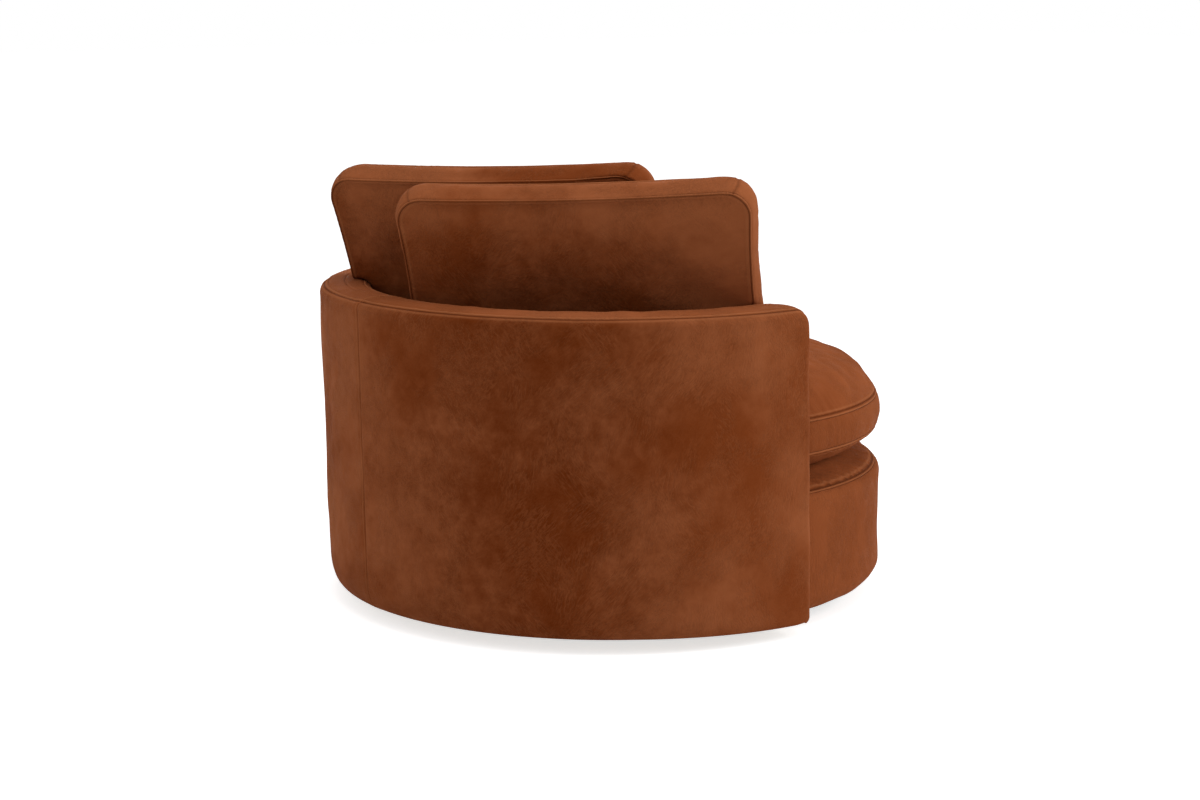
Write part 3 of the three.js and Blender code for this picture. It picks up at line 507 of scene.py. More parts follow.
def hide_material(name, shift, colours=outer_colours, cloud_amount=0.9, dye_and_shade_zone=None, dye_and_shade=(0.15, 1.0)):
    """One cut of the hide; the shift picks another part of it, as each panel is cut from another place.

    The colours go from light to dark. A dye and shade zone is a place and a size in which the hide is darker,
    partly by its own deeper dye and partly by painted shade, from the least to the most darkening given.
    """
    material, tree, surface, where = new_material(name)
    moved = mapped(tree, where, Location=shift)
    shade = place(tree, "ShaderNodeAttribute", attribute_name="seam_shade_and_wear").outputs["Fac"]
    # The zone's darkening is partly deeper dye and partly painted shade
    depth = dye_and_shade[0]
    if dye_and_shade_zone:
        away = mapped(tree, where, "TEXTURE", Location=dye_and_shade_zone[0], Scale=dye_and_shade_zone[1])
        length = place(tree, "ShaderNodeVectorMath", {0: away}, operation="LENGTH").outputs["Value"]
        depth = spread(tree, length, 1.0, 0.0, *dye_and_shade, "SMOOTHSTEP")
    light, middle, dark = ((*colour, 1) for colour in colours)
    hide = place(tree, "ShaderNodeGroup", {
        "Vector": moved, "Dye And Shade Zone": depth, "Cloud Amount": cloud_amount, "Seam Shade And Wear": shade,
        "Light": light, "Middle": middle, "Dark": dark}, node_tree=hide_group)
    for socket, value in (("Specular IOR Level", 0.015), ("Sheen Weight", 0.09),
                          ("Sheen Roughness", 0.45), ("Sheen Tint", (1.0, 0.4, 0.18, 1))):
        surface.inputs[socket].default_value = value
    tree.links.new(hide.outputs["Roughness"], surface.inputs["Roughness"])
    coat(tree, surface, hide.outputs["Color"], hide.outputs["Height"], 0.0016, 0.85)
    return material


outer_hide = {
    1: hide_material("outer_hide_left", (1.3, 0.4, 0.2)),
    # The right panel's zone darkens its middle: partly the hide's own dye, partly painted shade where the
    # wall turns away from the lamps
    -1: hide_material("outer_hide_right", (0.2, 0.15, 0.35),
                      dye_and_shade_zone=((-0.375, 0.469, 0.34), (0.56, 0.56, 1.6)), dye_and_shade=(0.1, 0.95)),
}
stitch_rows = {"tub": [], "seat_pad": [], "right_pad": [], "left_pad": []}
centre_seam_share = 0.4


def stand_for(piece, node, material, body="tub"):
    """Lets a leather piece stand for its CAD node."""
    piece.data.materials.append(material)
    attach(piece, body)
    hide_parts(node)


for name, side in (("left", 1), ("right", -1)):
    grid, distance = wall_grid(floor_gap, stitched_edge if side > 0 else plain_edge)
    grid = softened(grid, 1, cover_softness, 40 + side)
    grid[..., 0] *= side
    from_centre = shell_radius * np.abs(np.arctan2(grid[..., 0], grid[..., 1] - shell_centre_y))
    shade = np.where(from_centre < seam_zone, centre_seam_share * seam_shade_and_wear(distance, side > 0),
                     seam_shade_and_wear(distance, False))
    cover = grid_object(f"outer_leather_{name}", grid, outward=side, shade=shade)
    thicken(cover, leather)
    stand_for(cover, f"outer_cover_{name}", outer_hide[side])

heights = np.linspace(floor_gap + hem_height / 2, rim_height - 0.006, 240)
in_hem = np.clip((floor_gap + hem_height - heights) / hem_height, 0, 1)
over = np.clip((heights - corner_height - arm_corner_radius + rim_round) / rim_round, 0, 1)
inset = hem_depth * (1 - np.sin(np.arccos(in_hem))) + rim_round * (1 - np.sqrt(1 - over ** 2))
stitch_rows["tub"].append(shell_point(shell_radius - inset - seam_gap, stitch_line + seam_gap, heights))


# Inner cover
# One long panel of the same leather over the back foam. It is sewn to the band at the inner rim seam,
# and is pulled down out of sight behind the deck.
inner_low_edge = 0.345
inner_softness = 0.0018
grid, distance = wall_grid(inner_low_edge)
grid = np.concatenate([grid[:, :0:-1] * np.array([-1, 1, 1]), grid], 1)
shade = seam_shade_and_wear(np.concatenate([distance[:, :0:-1], distance], 1), False)
inner_cover = grid_object("inner_leather", softened(grid, -1, inner_softness, 60), outward=-1, shade=shade)
thicken(inner_cover, leather)
stand_for(inner_cover, "inner_cover", hide_material("inner_hide", (2.1, 0.7, 0.1)))


# Rim band
# A boxed band of leather over the foam rim pad: along the top, round the arm corner and down the
# arm front to the floor edge. It is topstitched beside both seams and joined at the centre back.
def band_crossings():
    """Across the band from its outer to its inner seam: radius, height over the rim, seam distance."""
    flat = shell_wall - 2 * rim_round
    arc = rim_round * (math.pi / 2 - seam_turn)
    advance, depth = seam_edge(edge_travels(arc + flat / 2, edge_step), stitched_edge)
    turn = np.minimum(seam_turn + advance / rim_round, math.pi / 2)
    run = np.maximum(advance - arc, 0)
    share = run / flat
    out = (rim_round - depth) * np.cos(turn) - run
    above = (rim_round - depth) * np.sin(turn) - rim_round + 4 * rim_crown * share * (1 - share)
    outer = np.column_stack([shell_radius - rim_round + out, above, advance])
    inner = np.column_stack([inner_radius + rim_round - out, above, advance])
    return np.concatenate([outer[:-1], inner[::-1]])


def band_point(course, value, r, above):
    """A point of the band on its course: along the rim, round the corner, or down the arm front."""
    if course == "rim":
        return shell_point(r, value, rim_height + above)
    if course == "corner":
        out = arm_corner_radius + above
        return shell_point(r, corner_length + out * math.sin(value), corner_height + out * math.cos(value))
    return shell_point(r, arm_length + above - foot_pull(value), value)


band_rows = band_crossings()
seam_distance = band_rows[:, 2:]
corner_turns = np.radians(np.linspace(0, 90, 22))
front_heights = np.linspace(corner_height, floor_gap + front_foot_round, 110)[1:]
foot_heights = floor_gap + front_foot_round * (1 - np.sin(np.radians(np.linspace(0, 90, 9))[1:]))
band_pucker = 0.00022
band_softness = 0.0009
for name, side, shift in (("left", 1, (0.9, 2.2, 0.4)), ("right", -1, (3.1, 0.2, 0.9))):
    starts, start_depth = seam_edge(centre_travels, stitched_edge if side > 0 else plain_edge)
    stations = [("rim", l, d) for l, d in zip(starts, start_depth)]
    stations += [("rim", l, 0) for l in np.linspace(starts[-1], corner_length, 210)[1:-1]]
    stations += [("corner", turn, 0) for turn in corner_turns]
    stations += [("front", z, 0) for z in np.append(front_heights, foot_heights)]
    grid = np.array([[band_point(course, value, r, above - d) for course, value, d in stations]
                     for r, above, _ in band_rows])
    pucker = ripple(grid, 0.011, 81 + side) * band_pucker * bell(seam_distance, 0.006, 0.006)
    soft = ripple(grid, 0.07, 83 + side) * band_softness * np.clip(seam_distance / 0.02, 0, 1)
    grid = grid + grid_normals(grid) * (pucker + soft)[..., None]
    grid[..., 0] *= side
    joint_distance = np.append(starts, np.ones(len(stations) - len(starts)))
    shade = seam_shade_and_wear(seam_distance, True) + seam_shade_and_wear(joint_distance, side > 0)
    band = grid_object(f"rim_band_leather_{name}", grid, outward=side, shade=shade)
    thicken(band, leather)
    stand_for(band, f"rim_band_{name}", hide_material(f"band_hide_{name}", shift, band_colours, 0.6))
    near = int(np.argmin(np.abs(seam_distance[: len(band_rows) // 2, 0] - stitch_line)))
    far = len(band_rows) - 1 - near
    start = len(roll_steps)
    stitch_rows["tub"] += [grid[near, start:], grid[far, start:]]
    if side > 0:
        column = int(np.argmin(np.abs(starts - stitch_line)))
        stitch_rows["tub"].append(grid[near + 4:far - 3, column])


# Drum cover
# The round front of the seat base: a bent board with wadding and leather. The hide turns under at
# the floor and meets the deck in a seam that is topstitched on the drum side.
drum_hem_depth = 0.042
drum_hem_height = 0.040
drum_shoulder_round = 0.030
drum_columns = 321
drum_softness = 0.0011
drum_pucker = 0.0003
deck_seam_height = 0.288
arm_clear = rim_crown + 0.0006
shoulder_height = deck_seam_height - drum_shoulder_round * math.sin(seam_turn)
shoulder_radius = drum_radius - drum_shoulder_round
seat_colours = (0.262, 0.07, 0.0215), (0.212, 0.053, 0.0145), (0.135, 0.0275, 0.0055)


def drum_end(r, z):
    """Turn from the front at which a ring of the drum meets the arm's front face."""
    level = arm_clear + (drum_centre_y - shell_centre_y - lean_at(z)) * math.sin(arm_reach)
    return math.pi - arm_reach - np.arcsin(level / r)


def drum_ring(r, z):
    turns = np.linspace(-1, 1, drum_columns) * drum_end(r, z)
    return np.stack([r * np.sin(turns), drum_centre_y - r * np.cos(turns), np.full(len(turns), z)], -1)


rows = [(drum_radius - drum_hem_depth * (1 - math.sin(t)), floor_gap + drum_hem_height * (1 - math.cos(t)))
        for t in np.radians(np.linspace(0, 90, 12))]
rows += [(drum_radius, z) for z in np.linspace(floor_gap + drum_hem_height, shoulder_height, 30)[1:-1]]
advance, depth = seam_edge(edge_travels(drum_shoulder_round * seam_turn, 0.002)[::-1], stitched_edge)
top_distance = np.append(np.ones(len(rows)), advance)[:, None]
turns = np.maximum(seam_turn - advance / drum_shoulder_round, 0)
reach = drum_shoulder_round - depth
below = np.maximum(advance - drum_shoulder_round * seam_turn, 0)
rows += list(zip(shoulder_radius + reach * np.cos(turns), shoulder_height + reach * np.sin(turns) - below))
grid = np.array([drum_ring(r, z) for r, z in rows])
soft = ripple(grid, 0.12, 91) * drum_softness * np.clip(top_distance / 0.03, 0, 1)
pucker = ripple(grid, 0.012, 92) * drum_pucker * bell(top_distance, 0.01, 0.008)
grid = grid + grid_normals(grid) * (soft + pucker)[..., None]
drum_cover = grid_object("drum_leather", grid, shade=seam_shade_and_wear(top_distance, True))
thicken(drum_cover, leather)
stand_for(drum_cover, "drum_cover", hide_material("drum_hide", (0.5, 1.9, 2.4), seat_colours, 0.6))
stitch_rows["tub"].append(grid[len(rows) - 1 - int(np.argmin(np.abs(advance[::-1] - stitch_line)))])


# Deck
# The sprung platform that the seat cushion lies on. Its leather rises from the drum seam in a soft
# shoulder, with small puckers where the round edge is eased into the seam.
deck_rise = 0.047
deck_shoulder = 0.163
deck_edge = 0.05
deck_sides = 560
fold_slant = 2.5
fold_height = 0.0022
deck_softness = 0.0007
slide_gap = 0.003
seat_clear_radius = inner_radius - slide_gap
deck_seam_radius = shoulder_radius + drum_shoulder_round * math.cos(seam_turn)
drum_centre = np.array([0, drum_centre_y])


def deck_height(r):
    share = np.clip((deck_seam_radius - r) / deck_shoulder, 0, 1)
    return deck_seam_height + deck_rise * (1 - (1 - share) ** 2)


def loop_length(loop):
    return float(np.linalg.norm(np.roll(loop, -1, 0) - loop, axis=1).sum())


def even_loop(loop, count):
    """The same closed loop with its points at even steps."""
    closed = np.concatenate([loop, loop[:1]])
    travel = np.concatenate([[0], np.cumsum(np.linalg.norm(np.diff(closed, axis=0), axis=1))])
    at = np.linspace(0, travel[-1], count, endpoint=False)
    return np.stack([np.interp(at, travel, closed[:, k]) for k in range(closed.shape[1])], -1)


def smooth_round(values, width, reach):
    """Values round a loop, smoothed over a width; width and reach count points."""
    spread = np.exp(-0.5 * (np.arange(-reach, reach + 1) / width) ** 2)
    wrapped = np.concatenate([values[-reach:], values, values[:reach]])
    return np.convolve(wrapped, spread / spread.sum(), "valid")


def plan_outline(front_radius, inside_radius, z, rounding, count, dense=1440):
    """Plan, from the drum's middle, of what fits between the arms: round in front, and stepping in there."""
    end = float(drum_end(front_radius, z))
    turns = np.linspace(-end, end, 400)
    front = np.stack([front_radius * np.sin(turns), drum_centre_y - front_radius * np.cos(turns)], -1)
    reach = arm_reach + math.asin(arm_clear / inside_radius)
    turns = np.linspace(reach, -reach, 400)
    back = inside_radius * np.stack([np.sin(turns), np.cos(turns)], -1) + [0, shell_centre_y + lean_at(z)]
    loop = even_loop(np.concatenate([front, back]), dense)
    width = rounding * dense / loop_length(loop)
    smooth = np.stack([smooth_round(loop[:, k], width, 60) for k in range(2)], -1)
    return even_loop(smooth, count) - drum_centre


outline = plan_outline(deck_seam_radius, seat_clear_radius, deck_seam_height, 0.006, deck_sides)
circle = outline / np.linalg.norm(outline, axis=1, keepdims=True) * seat_clear_radius
advance, depth = seam_edge(edge_travels(deck_edge, 0.005), plain_edge)
inner_shares = np.append(np.linspace(1 - deck_edge / deck_seam_radius, 0.02, 36)[1:], 0)
shares = np.append(1 - advance / deck_seam_radius, inner_shares)
rows = []
for share, deep in zip(shares, np.append(depth, np.zeros(len(inner_shares)))):
    plan = share * (outline * share ** 3 + circle * (1 - share ** 3))
    rows.append(np.column_stack([plan + drum_centre, deck_height(np.linalg.norm(plan, axis=1)) - deep]))
grid = np.array(rows)
from_edge = ((1 - shares) * deck_seam_radius)[:, None]
slanted = np.arange(deck_sides) / deck_sides * 2 * math.pi + fold_slant * from_edge
random = np.random.default_rng(7)
folds = sum(np.sin(slanted * count + random.uniform(0, 6.3)) * random.uniform(0.4, 1)
            for count in range(80, 170, 7)) / 3
soft = ripple(grid, 0.05, 95) * deck_softness * np.clip(from_edge / 0.03, 0, 1)
grid[..., 2] += folds * fold_height * bell(from_edge, 0.024, 0.034) + soft
deck_cover = grid_object("deck_leather", grid, outward=-1, ring=True, shade=seam_shade_and_wear(from_edge, False))
thicken(deck_cover, leather)
stand_for(deck_cover, "deck_cover", hide_material("deck_hide", (1.7, 3.3, 0.6), seat_colours, 0.7))


# Seat cushion
# A loose round cushion with a boxed border between two topstitched seams. Foam in a fibre wrap
# fills it until its top crowns well above the seam, with small radial puckers along the edge.
seat_seam_radius = 0.556
seat_low_seam = 0.362
seat_border = 0.078
seat_bulge = 0.010
seat_corner = 0.014
seat_crown = 0.088
seat_crown_power = 12
seat_crown_fullness = 0.76
seat_under = 0.055
seat_under_power = 14
seat_sides = 132
seat_fine_sides = 560
panel_step = 0.007
filling_pressure = 4.0
filling_frames = 20
fold_length = 0.019
fold_share_of_border = 0.35
seat_room = 0.0015
seat_on_deck = 0.002


def bag_object(name, layers, shade=None):
    """Closed bag from rings of points; the first and last rings are single points."""
    rows, sides = layers.shape[:2]
    points = [layers[0, 0], *layers[1:-1].reshape(-1, 3), layers[-1, 0]]
    faces = []
    ring = lambda k, i: 1 + (k - 1) * sides + i % sides
    for i in range(sides):
        faces.append([0, ring(1, i), ring(1, i + 1)])
        for k in range(1, rows - 2):
            faces.append([ring(k, i), ring(k + 1, i), ring(k + 1, i + 1), ring(k, i + 1)])
        faces.append([ring(rows - 2, i), len(points) - 1, ring(rows - 2, i + 1)])
    if shade is not None:
        shade = [shade[0, 0], *shade[1:-1].ravel(), shade[-1, 0]]
    return mesh_object(name, [tuple(p) for p in points], faces, shade)


def boxed_bag(ring, shares, top, border, crown, under):
    """Rings of a boxed cushion from the middle of its top to that of its underside, and its seams' rows."""
    sides = (0.2, 0.4, 0.6, 0.8)
    layers = [ring(s, top + crown(s)) for s in shares]
    layers += [ring(1, top - border * s, math.sin(math.pi * s)) for s in sides]
    layers += [ring(s, top - border - under(s)) for s in shares[::-1]]
    return np.array(layers), (len(shares) - 1, len(shares) + len(sides))


def filled(layers, seams, cap):
    """Swells a bag as its filling does, by a cloth simulation with its sewn seams held; returns its rings."""
    rows, sides = layers.shape[:2]
    bag = bag_object("cushion_bag", layers)
    held = bag.vertex_groups.new(name="seams")
    for row in seams:
        held.add(list(range(1 + (row - 1) * sides, 1 + row * sides)), 1.0, "REPLACE")
    cloth = bag.modifiers.new("filling", "CLOTH")
    for name, value in (("vertex_group_mass", "seams"), ("quality", 6), ("mass", 0.35),
                        ("tension_stiffness", 28), ("compression_stiffness", 12), ("shear_stiffness", 8),
                        ("bending_stiffness", 1.2), ("use_pressure", True),
                        ("uniform_pressure_force", filling_pressure)):
        setattr(cloth.settings, name, value)
    cloth.settings.effector_weights.gravity = 0
    cloth.point_cache.frame_start = 1
    cloth.point_cache.frame_end = filling_frames
    scene = bpy.context.scene
    for step in range(1, filling_frames + 1):
        scene.frame_set(step)
    swollen = bag.evaluated_get(bpy.context.evaluated_depsgraph_get())
    points = np.zeros(len(swollen.data.vertices) * 3)
    swollen.data.vertices.foreach_get("co", points)
    points = points.reshape(-1, 3)
    scene.frame_set(1)
    mesh = bag.data
    bpy.data.objects.remove(bag)
    bpy.data.meshes.remove(mesh)
    middle = points[1:-1].reshape(rows - 2, sides, 3)
    new = np.concatenate([np.tile(points[0], (1, sides, 1)), middle, np.tile(points[-1], (1, sides, 1))])
    move = new - layers
    size = np.linalg.norm(move, axis=-1, keepdims=True)
    return layers + move * np.minimum(1, cap / np.maximum(size, 1e-9))


def smooth_between(values, at):
    """Catmull-Rom interpolation along the first axis, with straight run-outs at both ends."""
    values = np.concatenate([2 * values[:1] - values[1:2], values, 2 * values[-1:] - values[-2:-1]])
    k = np.clip(np.floor(at).astype(int), 0, len(values) - 4)
    t = (at - k).reshape(-1, *([1] * (values.ndim - 1)))
    a, b, c, d = values[k], values[k + 1], values[k + 2], values[k + 3]
    return 0.5 * (2 * b + (c - a) * t + (2 * a - 5 * b + 4 * c - d) * t ** 2
                  + (3 * b - a - 3 * c + d) * t ** 3)


def finer_rings(layers, sides):
    """More points round each ring."""
    old = layers.shape[1]
    wrapped = np.concatenate([layers[:, -2:], layers, layers[:, :3]], 1).transpose(1, 0, 2)
    at = 2 + np.arange(sides) * old / sides
    return smooth_between(wrapped, at).transpose(1, 0, 2)


def finer_panel(panel, start_seam, end_seam):
    """More rings in one panel, close together beside its seams; also their distances from the seams."""
    steps = np.linalg.norm(np.diff(panel, axis=0), axis=-1).mean(1)
    travel = np.concatenate([[0], np.cumsum(steps)])
    length = travel[-1]
    near = np.arange(0, seam_zone, 0.0009)
    at = np.concatenate([
        near if start_seam else np.arange(0, seam_zone, panel_step),
        np.arange(seam_zone, length - (seam_zone if end_seam else 0), panel_step),
        length - near[::-1] if end_seam else [length],
    ])
    rings = smooth_between(panel, np.interp(at, travel, np.arange(len(travel))))
    return rings, np.minimum(at if start_seam else 9, length - at if end_seam else 9)


def sewn(layers, seams, sides, folds, seed, joints=(), groove=0.005, line=1.0):
    """Fine cushion surface: seams pulled in, lips beside the topstitching, and puckers along the edges.

    It gives the rings, how far each point rises, its seam shade, and the rows that are topstitched.
    """
    layers = finer_rings(layers, sides)
    low, high = seams
    parts = []
    row = 0
    for panel, start_seam, end_seam, profile, share in (
        (layers[: low + 1], False, True, plain_edge, 1),
        (layers[low: high + 1], True, True, stitched_edge, fold_share_of_border),
        (layers[high:], True, False, plain_edge, 1),
    ):
        rings, from_seam = finer_panel(panel, start_seam, end_seam)
        boxed = start_seam and end_seam
        if boxed:
            near = int(np.argmin(np.abs(from_seam[: len(from_seam) // 2] - stitch_line)))
            stitches = [row + near - 1, row + len(from_seam) - 2 - near]
        shade = seam_shade_and_wear(from_seam, boxed)
        part = rings, from_seam, profile(from_seam), shade, np.full(len(rings), share)
        parts.append([values[1 if start_seam else 0:] for values in part])
        row += len(parts[-1][0])
    grid, *columns = (np.concatenate(values) for values in zip(*parts))
    distance, rise, shade, fold_share = (values[:, None] for values in columns)
    rise = rise - groove * bell(distance, 0, 0.0017)
    # line scales the painted shade in the seam creases
    shade = np.repeat(np.where(shade < 0, shade * line, shade), sides, 1)
    random = np.random.default_rng(seed)
    around = np.arange(sides) / sides * 2 * math.pi
    length = loop_length(grid[len(grid) // 2])
    counts = length / fold_length
    waves = sum(np.sin(around * round(counts * random.uniform(0.55, 1.5)) + random.uniform(0, 6.3))
                for _ in range(9)) / 3
    patches = 0.5 + 0.5 * np.clip(ripple(grid, 0.3, seed + 5), -1, 1)
    near_seam = bell(distance, 0.016, 0.02) + 0.35 * bell(distance, 0.05, 0.045)
    rise = rise + waves * folds * fold_share * patches * near_seam
    rise = rise + ripple(grid, 0.09, seed + 2) * 0.0016 * np.clip(distance / 0.04, 0, 1)
    rise = rise + ripple(grid, 0.03, seed + 3) * 0.0004 * np.clip(distance / 0.02, 0, 1)
    for joint in joints:
        along = (around - joint * 2 * math.pi + math.pi) % (2 * math.pi) - math.pi
        across = np.abs(along) * length / (2 * math.pi)
        on_border = fold_share < 1
        rise = rise - (0.0012 * bell(across, 0, 0.0018) - 0.0005 * bell(across, 0.006, 0.003)) * on_border
        # Painted shade darkens the groove of each joint across the border
        shade = shade - 0.5 * bell(across, 0, 0.0016) * on_border
    return grid, rise, shade, stitches


def sew_cushion(node, body, material, bag, sides, front, settle, fill, **sewing):
    """Sews a filled bag, settles it against its neighbours, and lets it stand for its CAD node."""
    grid, rise, shade, stitches = sewn(*bag, sides, **sewing)
    normals = grid_normals(grid, ring=True)
    facing = 1 if (normals[:20] @ front).mean() > 0 else -1
    grid = settle(grid + normals * facing * rise[..., None])
    cushion = bag_object(f"{node}_leather", grid[:, ::facing], shade[:, ::facing])
    stand_for(cushion, node, material, body)
    stitch_rows[body] += [np.concatenate([grid[k], grid[k, :1]]) for k in stitches]
    return grid


outline, swollen_outline = (
    plan_outline(seat_seam_radius + out, seat_clear_radius - seat_bulge + out, seat_low_seam, seat_corner,
                 seat_sides) for out in (0, seat_bulge))
radius = np.linalg.norm(outline, axis=1)
soft_outline = outline * (smooth_round(radius, 4, 12) / radius)[:, None]


def seat_ring(share, z, bulge=0.0):
    edge = outline + (swollen_outline - outline) * bulge
    plan = share * (edge * share ** 6 + soft_outline * (1 - share ** 6))
    return np.column_stack([plan + drum_centre, np.full(seat_sides, z)])


def on_the_seat_deck(points):
    """Keeps the seat cushion off the shell's inner wall and on the deck."""
    centre_y = shell_centre_y + lean_at(points[..., 2])
    side = points[..., 1] - centre_y
    r = np.hypot(points[..., 0], side)
    limit = seat_clear_radius - seat_room
    between_arms = np.abs(np.arctan2(points[..., 0], side)) < arm_reach
    scale = np.where(between_arms & (r > limit), limit / np.maximum(r, 1e-9), 1)
    x, y = points[..., 0] * scale, centre_y + side * scale
    least = deck_height(np.hypot(x, y - drum_centre_y)) + seat_on_deck
    return np.stack([x, y, np.maximum(points[..., 2], least)], -1)


layers, seams = boxed_bag(
    seat_ring, (0, 0.12, 0.25, 0.38, 0.5, 0.6, 0.69, 0.77, 0.84, 0.9, 0.95, 0.98, 1),
    seat_low_seam + seat_border, seat_border,
    lambda share: seat_crown * (1 - share ** seat_crown_power) ** seat_crown_fullness,
    lambda share: seat_under * (1 - share ** seat_under_power))
hide_seat = hide_material("seat_hide", (2.6, 1.1, 3.0), seat_colours, 0.6)
bag = filled(layers, seams, cap=0.006), seams
grid = sew_cushion("seat_cushion", "seat_pad", hide_seat, bag, seat_fine_sides, front=(0, 0, 1),
                   settle=on_the_seat_deck, fill=0.85, folds=0.0013, seed=11, groove=0.0026, line=0.5)
index = np.arange(grid[..., 0].size).reshape(grid.shape[:2])
after = np.roll(index, -1, 1)
seat_tree = BVHTree.FromPolygons(grid.reshape(-1, 3).tolist(), np.stack(
    [index[:-1], after[:-1], after[1:], index[1:]], -1).reshape(-1, 4).tolist())


# Back cushions
# Two big loose cushions with boxed borders, filled with fibre. One stands against the shell on the
# sitter's right; the other leans on it and on the wall. Their lower edges sink into the seat.
back_width = 0.714
back_height = 0.414
back_border = 0.085
back_bulge = 0.013
back_crown = 0.03948
back_corner = 0.048
back_draw_in = 0.006
back_lean = math.radians(20)
back_roll = math.radians(2.4)
back_sides = 120
back_fine_sides = 440
right_turn, left_turn = math.radians(46), math.radians(31.7)
seat_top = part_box("seat_cushion")[1].z


def back_place(bearing, from_wall, above_seat):
    """Middle of a back cushion: its bearing from the centre back, and its distances from wall and seat."""
    r = inner_radius - from_wall
    turn = math.radians(bearing)
    return np.array([r * math.sin(turn), shell_centre_y + r * math.cos(turn), seat_top + above_seat])


right_place = back_place(-46.2, 0.158, 0.189)
left_place = back_place(0.7, 0.235, 0.207)


def back_axes(turn):
    """Directions across the width, out of the front, and up the height of a leaning cushion."""
    flat_front = np.array([math.sin(turn), -math.cos(turn), 0])
    across = -np.array([math.cos(turn), math.sin(turn), 0])
    upright = np.array([0, 0, 1])
    front = flat_front * math.cos(back_lean) + upright * math.sin(back_lean)
    rise = -flat_front * math.sin(back_lean) + upright * math.cos(back_lean)
    width = across * math.cos(back_roll) + rise * math.sin(back_roll)
    return width, front, -across * math.sin(back_roll) + rise * math.cos(back_roll)


def panel_outline(grow):
    """Panel with round corners and sides drawn in between them."""
    wide, high = back_width / 2 - back_corner, back_height / 2 - back_corner
    radius = back_corner + grow
    points = []
    for quarter, (right, above) in enumerate(((1, 1), (-1, 1), (-1, -1), (1, -1))):
        for turn in np.linspace(0, math.pi / 2, 24) + quarter * math.pi / 2:
            points.append((right * wide + radius * math.cos(turn), above * high + radius * math.sin(turn)))
        for share in np.linspace(1, -1, 80)[1:-1]:
            drawn = radius - back_draw_in * (1 - share ** 2)
            if quarter % 2 == 0:
                points.append((right * wide * share, above * (high + drawn)))
            else:
                points.append((right * (wide + drawn), above * high * share))
    points = np.array(points)
    start = int(np.argmin(np.arctan2(points[:, 1], points[:, 0]) % (2 * math.pi)))
    return even_loop(np.roll(points, -start, 0), back_sides)


def clear_of_shell(points, gap):
    """Moves what would lie in the shell's rounded wall out to its surface, as the pressed filling does."""
    centre_y = shell_centre_y + lean_at(np.minimum(points[..., 2], rim_height))
    side = points[..., 1] - centre_y
    r = np.hypot(points[..., 0], side)
    middle = (shell_radius + inner_radius) / 2
    across = np.abs(r - middle) - (shell_wall / 2 - rim_round)
    above = points[..., 2] - (rim_height + rim_crown - rim_round)
    outside = np.hypot(np.maximum(across, 0), np.maximum(above, 0))
    depth = rim_round + gap - np.where(outside > 0, outside, np.maximum(across, above))
    sign = np.sign(r - middle)
    dr = np.where(outside > 0, np.maximum(across, 0) * sign, np.where(across > above, sign, 0))
    dz = np.where(outside > 0, np.maximum(above, 0), np.where(across > above, 0, 1.0))
    size = np.maximum(np.hypot(dr, dz), 1e-9)
    depth = np.maximum(depth, 0)
    scale = (r + depth * dr / size) / np.maximum(r, 1e-9)
    return np.stack([points[..., 0] * scale, centre_y + side * scale, points[..., 2] + depth * dz / size], -1)


def above_seat(points, gap):
    """Lifts what would lie in the seat cushion up to its top."""
    flat = points.reshape(-1, 3)
    for point in flat:
        hit = seat_tree.ray_cast(Vector((point[0], point[1], 1.0)), Vector((0, 0, -1)))[0]
        if hit is not None and point[2] < hit.z + gap:
            point[2] = hit.z + gap
    return flat.reshape(points.shape)


contact_normal = back_axes((right_turn + left_turn) / 2)[1]
contact_place = (right_place + left_place) / 2


def pressed(points, away, gap=0.0004):
    """Flattens one back cushion against the plane in which it meets the other."""
    over = ((points - contact_place) @ contact_normal) * away - gap
    return points - (contact_normal * away) * np.minimum(over, 0)[..., None]


for name, place_at, turn, away, shift, dye_and_shade_zone, seed in (
    ("right", right_place, right_turn, -1, (0.3, 2.9, 1.2), ((-0.3, 0.34, 0.71), (0.5, 0.5, 0.24)), 21),
    ("left", left_place, left_turn, 1, (1.9, 0.6, 2.2), ((0.1, 0.36, 0.72), (0.6, 0.5, 0.24)), 31),
):
    width, front, up = back_axes(turn)
    seam_loop = panel_outline(0)
    swollen_loop = panel_outline(back_bulge)

    def ring(share, out, bulge=0.0):
        plan = (seam_loop + (swollen_loop - seam_loop) * bulge) * share
        return place_at + plan[:, :1] * width + plan[:, 1:] * up + out * front

    def crown(share):
        return back_crown * (1 - share ** 2) ** 0.75

    def settle(points, wall_gap=0.0008, seat_gap=0.0012):
        return above_seat(clear_of_shell(pressed(points, away), wall_gap), seat_gap)

    layers, seams = boxed_bag(ring, (0, 0.14, 0.28, 0.42, 0.55, 0.66, 0.76, 0.85, 0.92, 0.97, 1),
                              back_border / 2, back_border, crown, crown)
    layers = settle(filled(layers, seams, cap=0.012), wall_gap=0.001, seat_gap=0.002)
    # Each cushion's zone darkens part of it: partly the hide's own dye, partly painted shade
    material = hide_material(f"back_cushion_{name}_hide", shift, dye_and_shade_zone=dye_and_shade_zone, dye_and_shade=(0.12, 0.85))
    sew_cushion(f"back_cushion_{name}", f"{name}_pad", material, (layers, seams), back_fine_sides,
                front, settle, fill=0.8, folds=0.0008, seed=seed, joints=(0.1, 0.4))


# Topstitching
# One row of waxed thread beside each seam, on the band side. Each stitch is a short round bead of
# thread that dips into the leather at both ends.
stitch_pitch = 0.0038
stitch_length = 0.0029
thread_radius = 0.0006

thread, tree, surface, where = new_material("waxed_thread", roughness=0.7)
surface.inputs["Specular IOR Level"].default_value = 0.08
colour = shades(tree, noise(tree, where, 300), (0.3, (0.022, 0.006, 0.002)), (0.7, (0.045, 0.012, 0.004)))
coat(tree, surface, colour, noise(tree, where, 2500), 0.0001)


